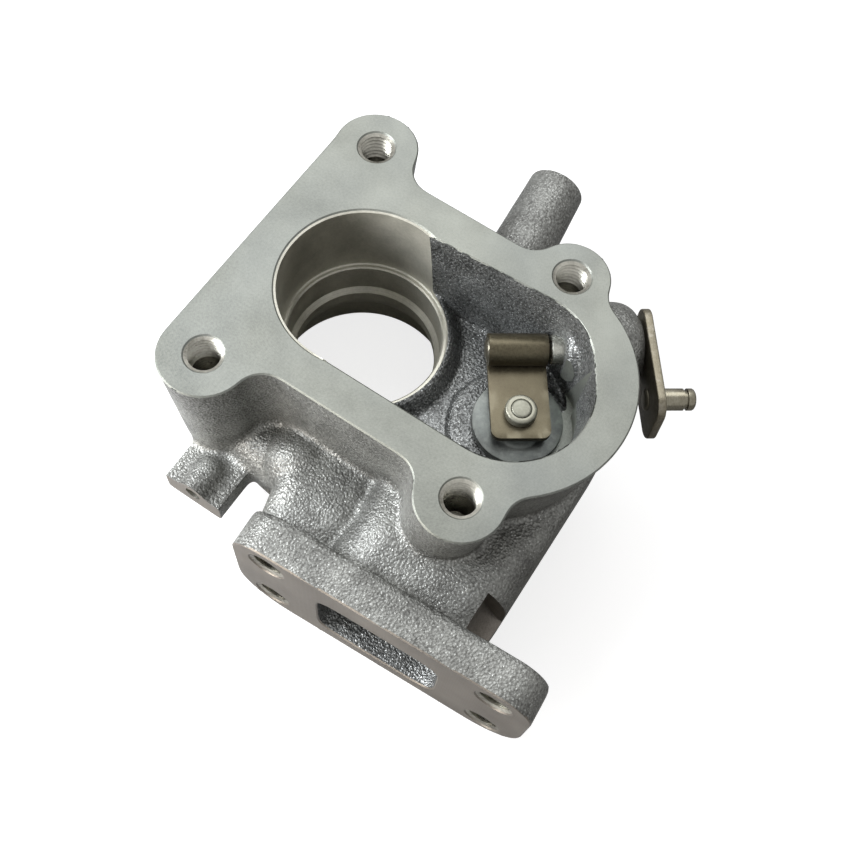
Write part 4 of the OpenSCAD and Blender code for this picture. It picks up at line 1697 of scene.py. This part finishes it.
    def washer(self) -> Piece:
        """Turns the washer that holds the arm on the valve's stem.

        Returns:
            The piece.
        """
        z, r, hole = self.washer_z, self.washer_r, self.head_r + 0.02
        section = [
            (hole, z), (r - 0.3, z), (r, z + 0.3), (r, z + 2.1), (r - 0.18, z + 2.5), (r - 0.55, z + 2.75),
            (3.4, z + self.washer_t), (3.0, z + self.washer_t), (2.86, z + 2.62), (hole, z + 2.45),
        ]
        finish = TurnedFinish(dark=tone(112, 110, 97), light=tone(150, 149, 136), matt=0.38, metal=0.6,
                              bump=0.12, relief=0.03, rings=400.0, turn=self.valve_turn())
        obj = as_object(spun(section, 72, ring=True), "rivet_washer", moved(*VALVE))
        return self.dress(obj, Body.FLAP, "valve_washer", finish)

    def lever(self) -> Piece:
        """Presses the outer lever's plate, with rounded edges.

        Returns:
            The piece.
        """
        shape = slab(self.lever_l + self.lever_back, self.lever_w, self.lever_corner, self.lever_t, 12)
        turn = shaft_place() @ moved(0, 0, self.lever_at) @ turned(self.lever_rise, "Z")
        obj = as_object(shape, "lever_plate", turn @ moved((self.lever_l - self.lever_back) / 2, 0))
        bevelled(obj, 0.4, 4, 50)
        # Its near-white edge colour is mostly a painted highlight on the lit rim of the plate, partly rubbed
        # metal.
        finish = MilledFinish(
            dark=tone(92, 86, 72), light=tone(132, 126, 109), matt=0.38, metal=0.7, bump=0.15, relief=0.04,
            tint=tone(70, 66, 60), tinted=0.4, wear_and_glint=0.6, worn_glint=tone(206, 202, 194))
        return self.dress(obj, Body.ARM, "outer_lever", finish)

    def pin(self) -> Piece:
        """Turns the rod pin, with its clip groove and the upset end behind the plate.

        Returns:
            The piece.
        """
        r, t, end = self.pin_r, self.lever_t, self.lever_t + self.pin_l
        profile = [
            (0, -0.7), (r - 0.9, -0.7), (r - 0.35, -0.5), (r, -0.15), (r, 0.0), (r - 0.7, 0.02), (r - 0.7, t),
            (r, t), (r, end - 3.3), (r - 0.55, end - 3.25), (r - 0.6, end - 2.3), (r, end - 2.2),
            (r, end - 0.8), (r - 0.25, end - 0.35), (r - 0.8, end), (0, end),
        ]
        finish = TurnedFinish(dark=tone(108, 103, 88), light=tone(156, 152, 138), matt=0.32, metal=0.85,
                              bump=0.1, relief=0.02, rings=700.0, turn=self.axis_turn())
        obj = as_object(spun(profile, 64), "rod_pin", shaft_place() @ moved(self.pin_at, 0, self.lever_at))
        return self.dress(obj, Body.ARM, "lever_pin", finish)

    def weld(self) -> Piece:
        """Lays the rippled bead that fixes the lever to the shaft.

        Returns:
            The piece.
        """
        r, bead = self.shaft_r, self.bead_r
        sweep = [math.radians(t) for t in range(0, 91, 15)]
        section = [(r, 0.0), *((r + bead * math.cos(t), bead * math.sin(t)) for t in sweep)]
        bm = spun(section, 96, ring=True)
        for vert in bm.verts:
            if vert.co.z > 0.05:
                turn = math.atan2(vert.co.y, vert.co.x)
                swell = 1 + 0.05 * math.sin(17 * turn + vert.co.z * 2.2) + 0.05 * noise.noise(vert.co * 1.3)
                vert.co.x *= min(swell, 1.0) if vert.co.z < 0.3 else 1.0
                vert.co.z *= min(swell, 1.04)
        finish = CastFinish(dark=tone(70, 68, 64), light=tone(120, 116, 108), matt=0.42, metal=0.75, bump=0.3,
                            relief=0.08, speck=tone(160, 150, 130), specks=0.08)
        obj = as_object(bm, "lever_bead", shaft_place() @ moved(0, 0, self.lever_at + self.lever_t))
        return self.dress(obj, Body.ARM, "lever_weld", finish)

    def peening(self) -> Piece:
        """Makes the peened end of the shaft on the arm's inner side.

        Returns:
            The piece.
        """
        z, r = -self.strap_w / 2, self.shaft_r
        profile = [(0, z), (r + 0.9, z), (r + 0.7, z - 0.3), (r, z - 0.65), (r - 1, z - 0.8), (0, z - 0.75)]
        finish = CastFinish(dark=tone(86, 82, 72), light=tone(130, 126, 112), matt=0.4, metal=0.75, bump=0.3,
                            relief=0.06, speck=tone(170, 165, 150), specks=0.08)
        obj = as_object(spun(profile, 48), "arm_bead", shaft_place())
        return self.dress(obj, Body.ARM, "arm_weld", finish)

    def build(self) -> list[Piece]:
        """Builds and dresses every piece of the wastegate.

        Returns:
            The pieces.
        """
        return [self.bush(), self.shaft(), self.strap(), self.flap(), self.stem(), self.washer(),
                self.lever(), self.pin(), self.weld(), self.peening()]


# The studio


@dataclass(frozen=True)
class Lamp:
    """A square soft lamp, in metres and watts."""

    name: str
    spot: tuple[float, float, float]
    size: float
    power: float
    colour: Colour

    def hang(self, aim: Sequence[float]) -> None:
        """Hangs the lamp.

        Args:
            aim: The point that it faces.
        """
        data = bpy.data.lights.new(self.name, "AREA")
        data.shape = "SQUARE"
        data.size = self.size
        data.energy = self.power
        data.color = self.colour
        obj = bpy.data.objects.new(self.name, data)
        obj.location = self.spot
        obj.rotation_mode = "QUATERNION"
        obj.rotation_quaternion = (Vector(aim) - Vector(self.spot)).to_track_quat("-Z", "Y")
        bpy.context.scene.collection.objects.link(obj)


@dataclass
class Studio:
    """The floor, the lamps, the world and the camera."""

    camera_spot: tuple[float, float, float] = (0.084263, -0.128377, 0.319645)
    camera_turn: tuple[float, float, float] = (24.062, -3.552, 33.248)
    lens: float = 46.5986
    aim: tuple[float, float, float] = (0.03, 0.0, 0.03)
    fill: float = 0.2
    fill_colour: Colour = (1.0, 0.93, 0.84)
    lamps: tuple[Lamp, ...] = (
        Lamp("key", (-0.26, 0.62, 1.00), 0.86, 9.3, (0.97, 0.985, 1.0)),
        Lamp("window", (-0.20, -0.15, 0.20), 0.18, 1.9, (0.94, 0.965, 1.0)),
        Lamp("front", (-0.20, -0.50, 0.06), 0.36, 3.6, (1.0, 0.94, 0.88)),
    )

    def floor(self) -> Piece:
        """Lays the pale floor, which keeps the object's shadow.

        Returns:
            The floor.
        """
        bm = bmesh.new()
        bmesh.ops.create_grid(bm, x_segments=1, y_segments=1, size=4000.0)
        obj = as_object(bm, "floor", moved(0, 0, -0.02))
        made = bpy.data.materials.new("floor_paint")
        made.use_nodes = True
        tree = Tree(made.node_tree)
        made.node_tree.nodes.clear()
        paint = tree.node("BsdfDiffuse")
        paint.inputs["Color"].default_value = (0.4, 0.4, 0.4, 1)
        glow = tree.node("Emission")
        glow.inputs["Strength"].default_value = 0.8
        path = tree.node("LightPath")
        seen = tree.math("MAXIMUM", path.outputs["Is Camera Ray"], path.outputs["Is Transmission Ray"])
        both = tree.node("AddShader")
        tree.link(paint.outputs[0], both.inputs[0])
        tree.link(glow.outputs[0], both.inputs[1])
        choose = tree.node("MixShader")
        tree.link(seen, choose.inputs[0])
        tree.link(paint.outputs[0], choose.inputs[1])
        tree.link(both.outputs[0], choose.inputs[2])
        out = tree.node("OutputMaterial")
        tree.link(choose.outputs[0], out.inputs[0])
        obj.data.materials.append(made)
        return obj

    def world(self) -> None:
        """Sets the white surroundings, which give the object a softer and slightly warm light."""
        world = bpy.data.worlds.new("studio")
        world.use_nodes = True
        bpy.context.scene.world = world
        tree = Tree(world.node_tree)
        back = world.node_tree.nodes["Background"]
        path = tree.node("LightPath")
        seen = tree.math("MAXIMUM", path.outputs["Is Camera Ray"], path.outputs["Is Glossy Ray"])
        seen = tree.math("MAXIMUM", seen, path.outputs["Is Transmission Ray"])
        tree.link(tree.mix(seen, (*self.fill_colour, 1.0), (1.0, 1.0, 1.0, 1.0)), back.inputs["Color"])
        tree.link(tree.spread(seen, 0.0, 1.0, self.fill, 1.0), back.inputs["Strength"])

    def camera(self) -> None:
        """Sets up the camera where the photo was taken from."""
        data = bpy.data.cameras.new("camera")
        data.lens = self.lens
        data.sensor_width = 36.0
        data.clip_start = 0.01
        obj = bpy.data.objects.new("camera", data)
        obj.location = self.camera_spot
        obj.rotation_euler = [math.radians(v) for v in self.camera_turn]
        bpy.context.scene.collection.objects.link(obj)
        bpy.context.scene.camera = obj

    def build(self) -> None:
        """Sets up the whole studio."""
        self.floor()
        self.world()
        for lamp in self.lamps:
            lamp.hang(self.aim)
        self.camera()
        bpy.context.scene.view_settings.view_transform = "Standard"


def main() -> None:
    """Builds the scene piece by piece and reports each one."""
    logging.basicConfig(level=logging.INFO, format="%(name)s: %(message)s")
    shop = Shop()
    casting = Casting(shop).build()
    pieces = [casting, *Wastegate(shop).build()]
    for piece in pieces:
        LOG.info("%s: %d faces", piece.name, len(piece.data.polygons))
    Studio().build()


if __name__ == "__main__":
    main()
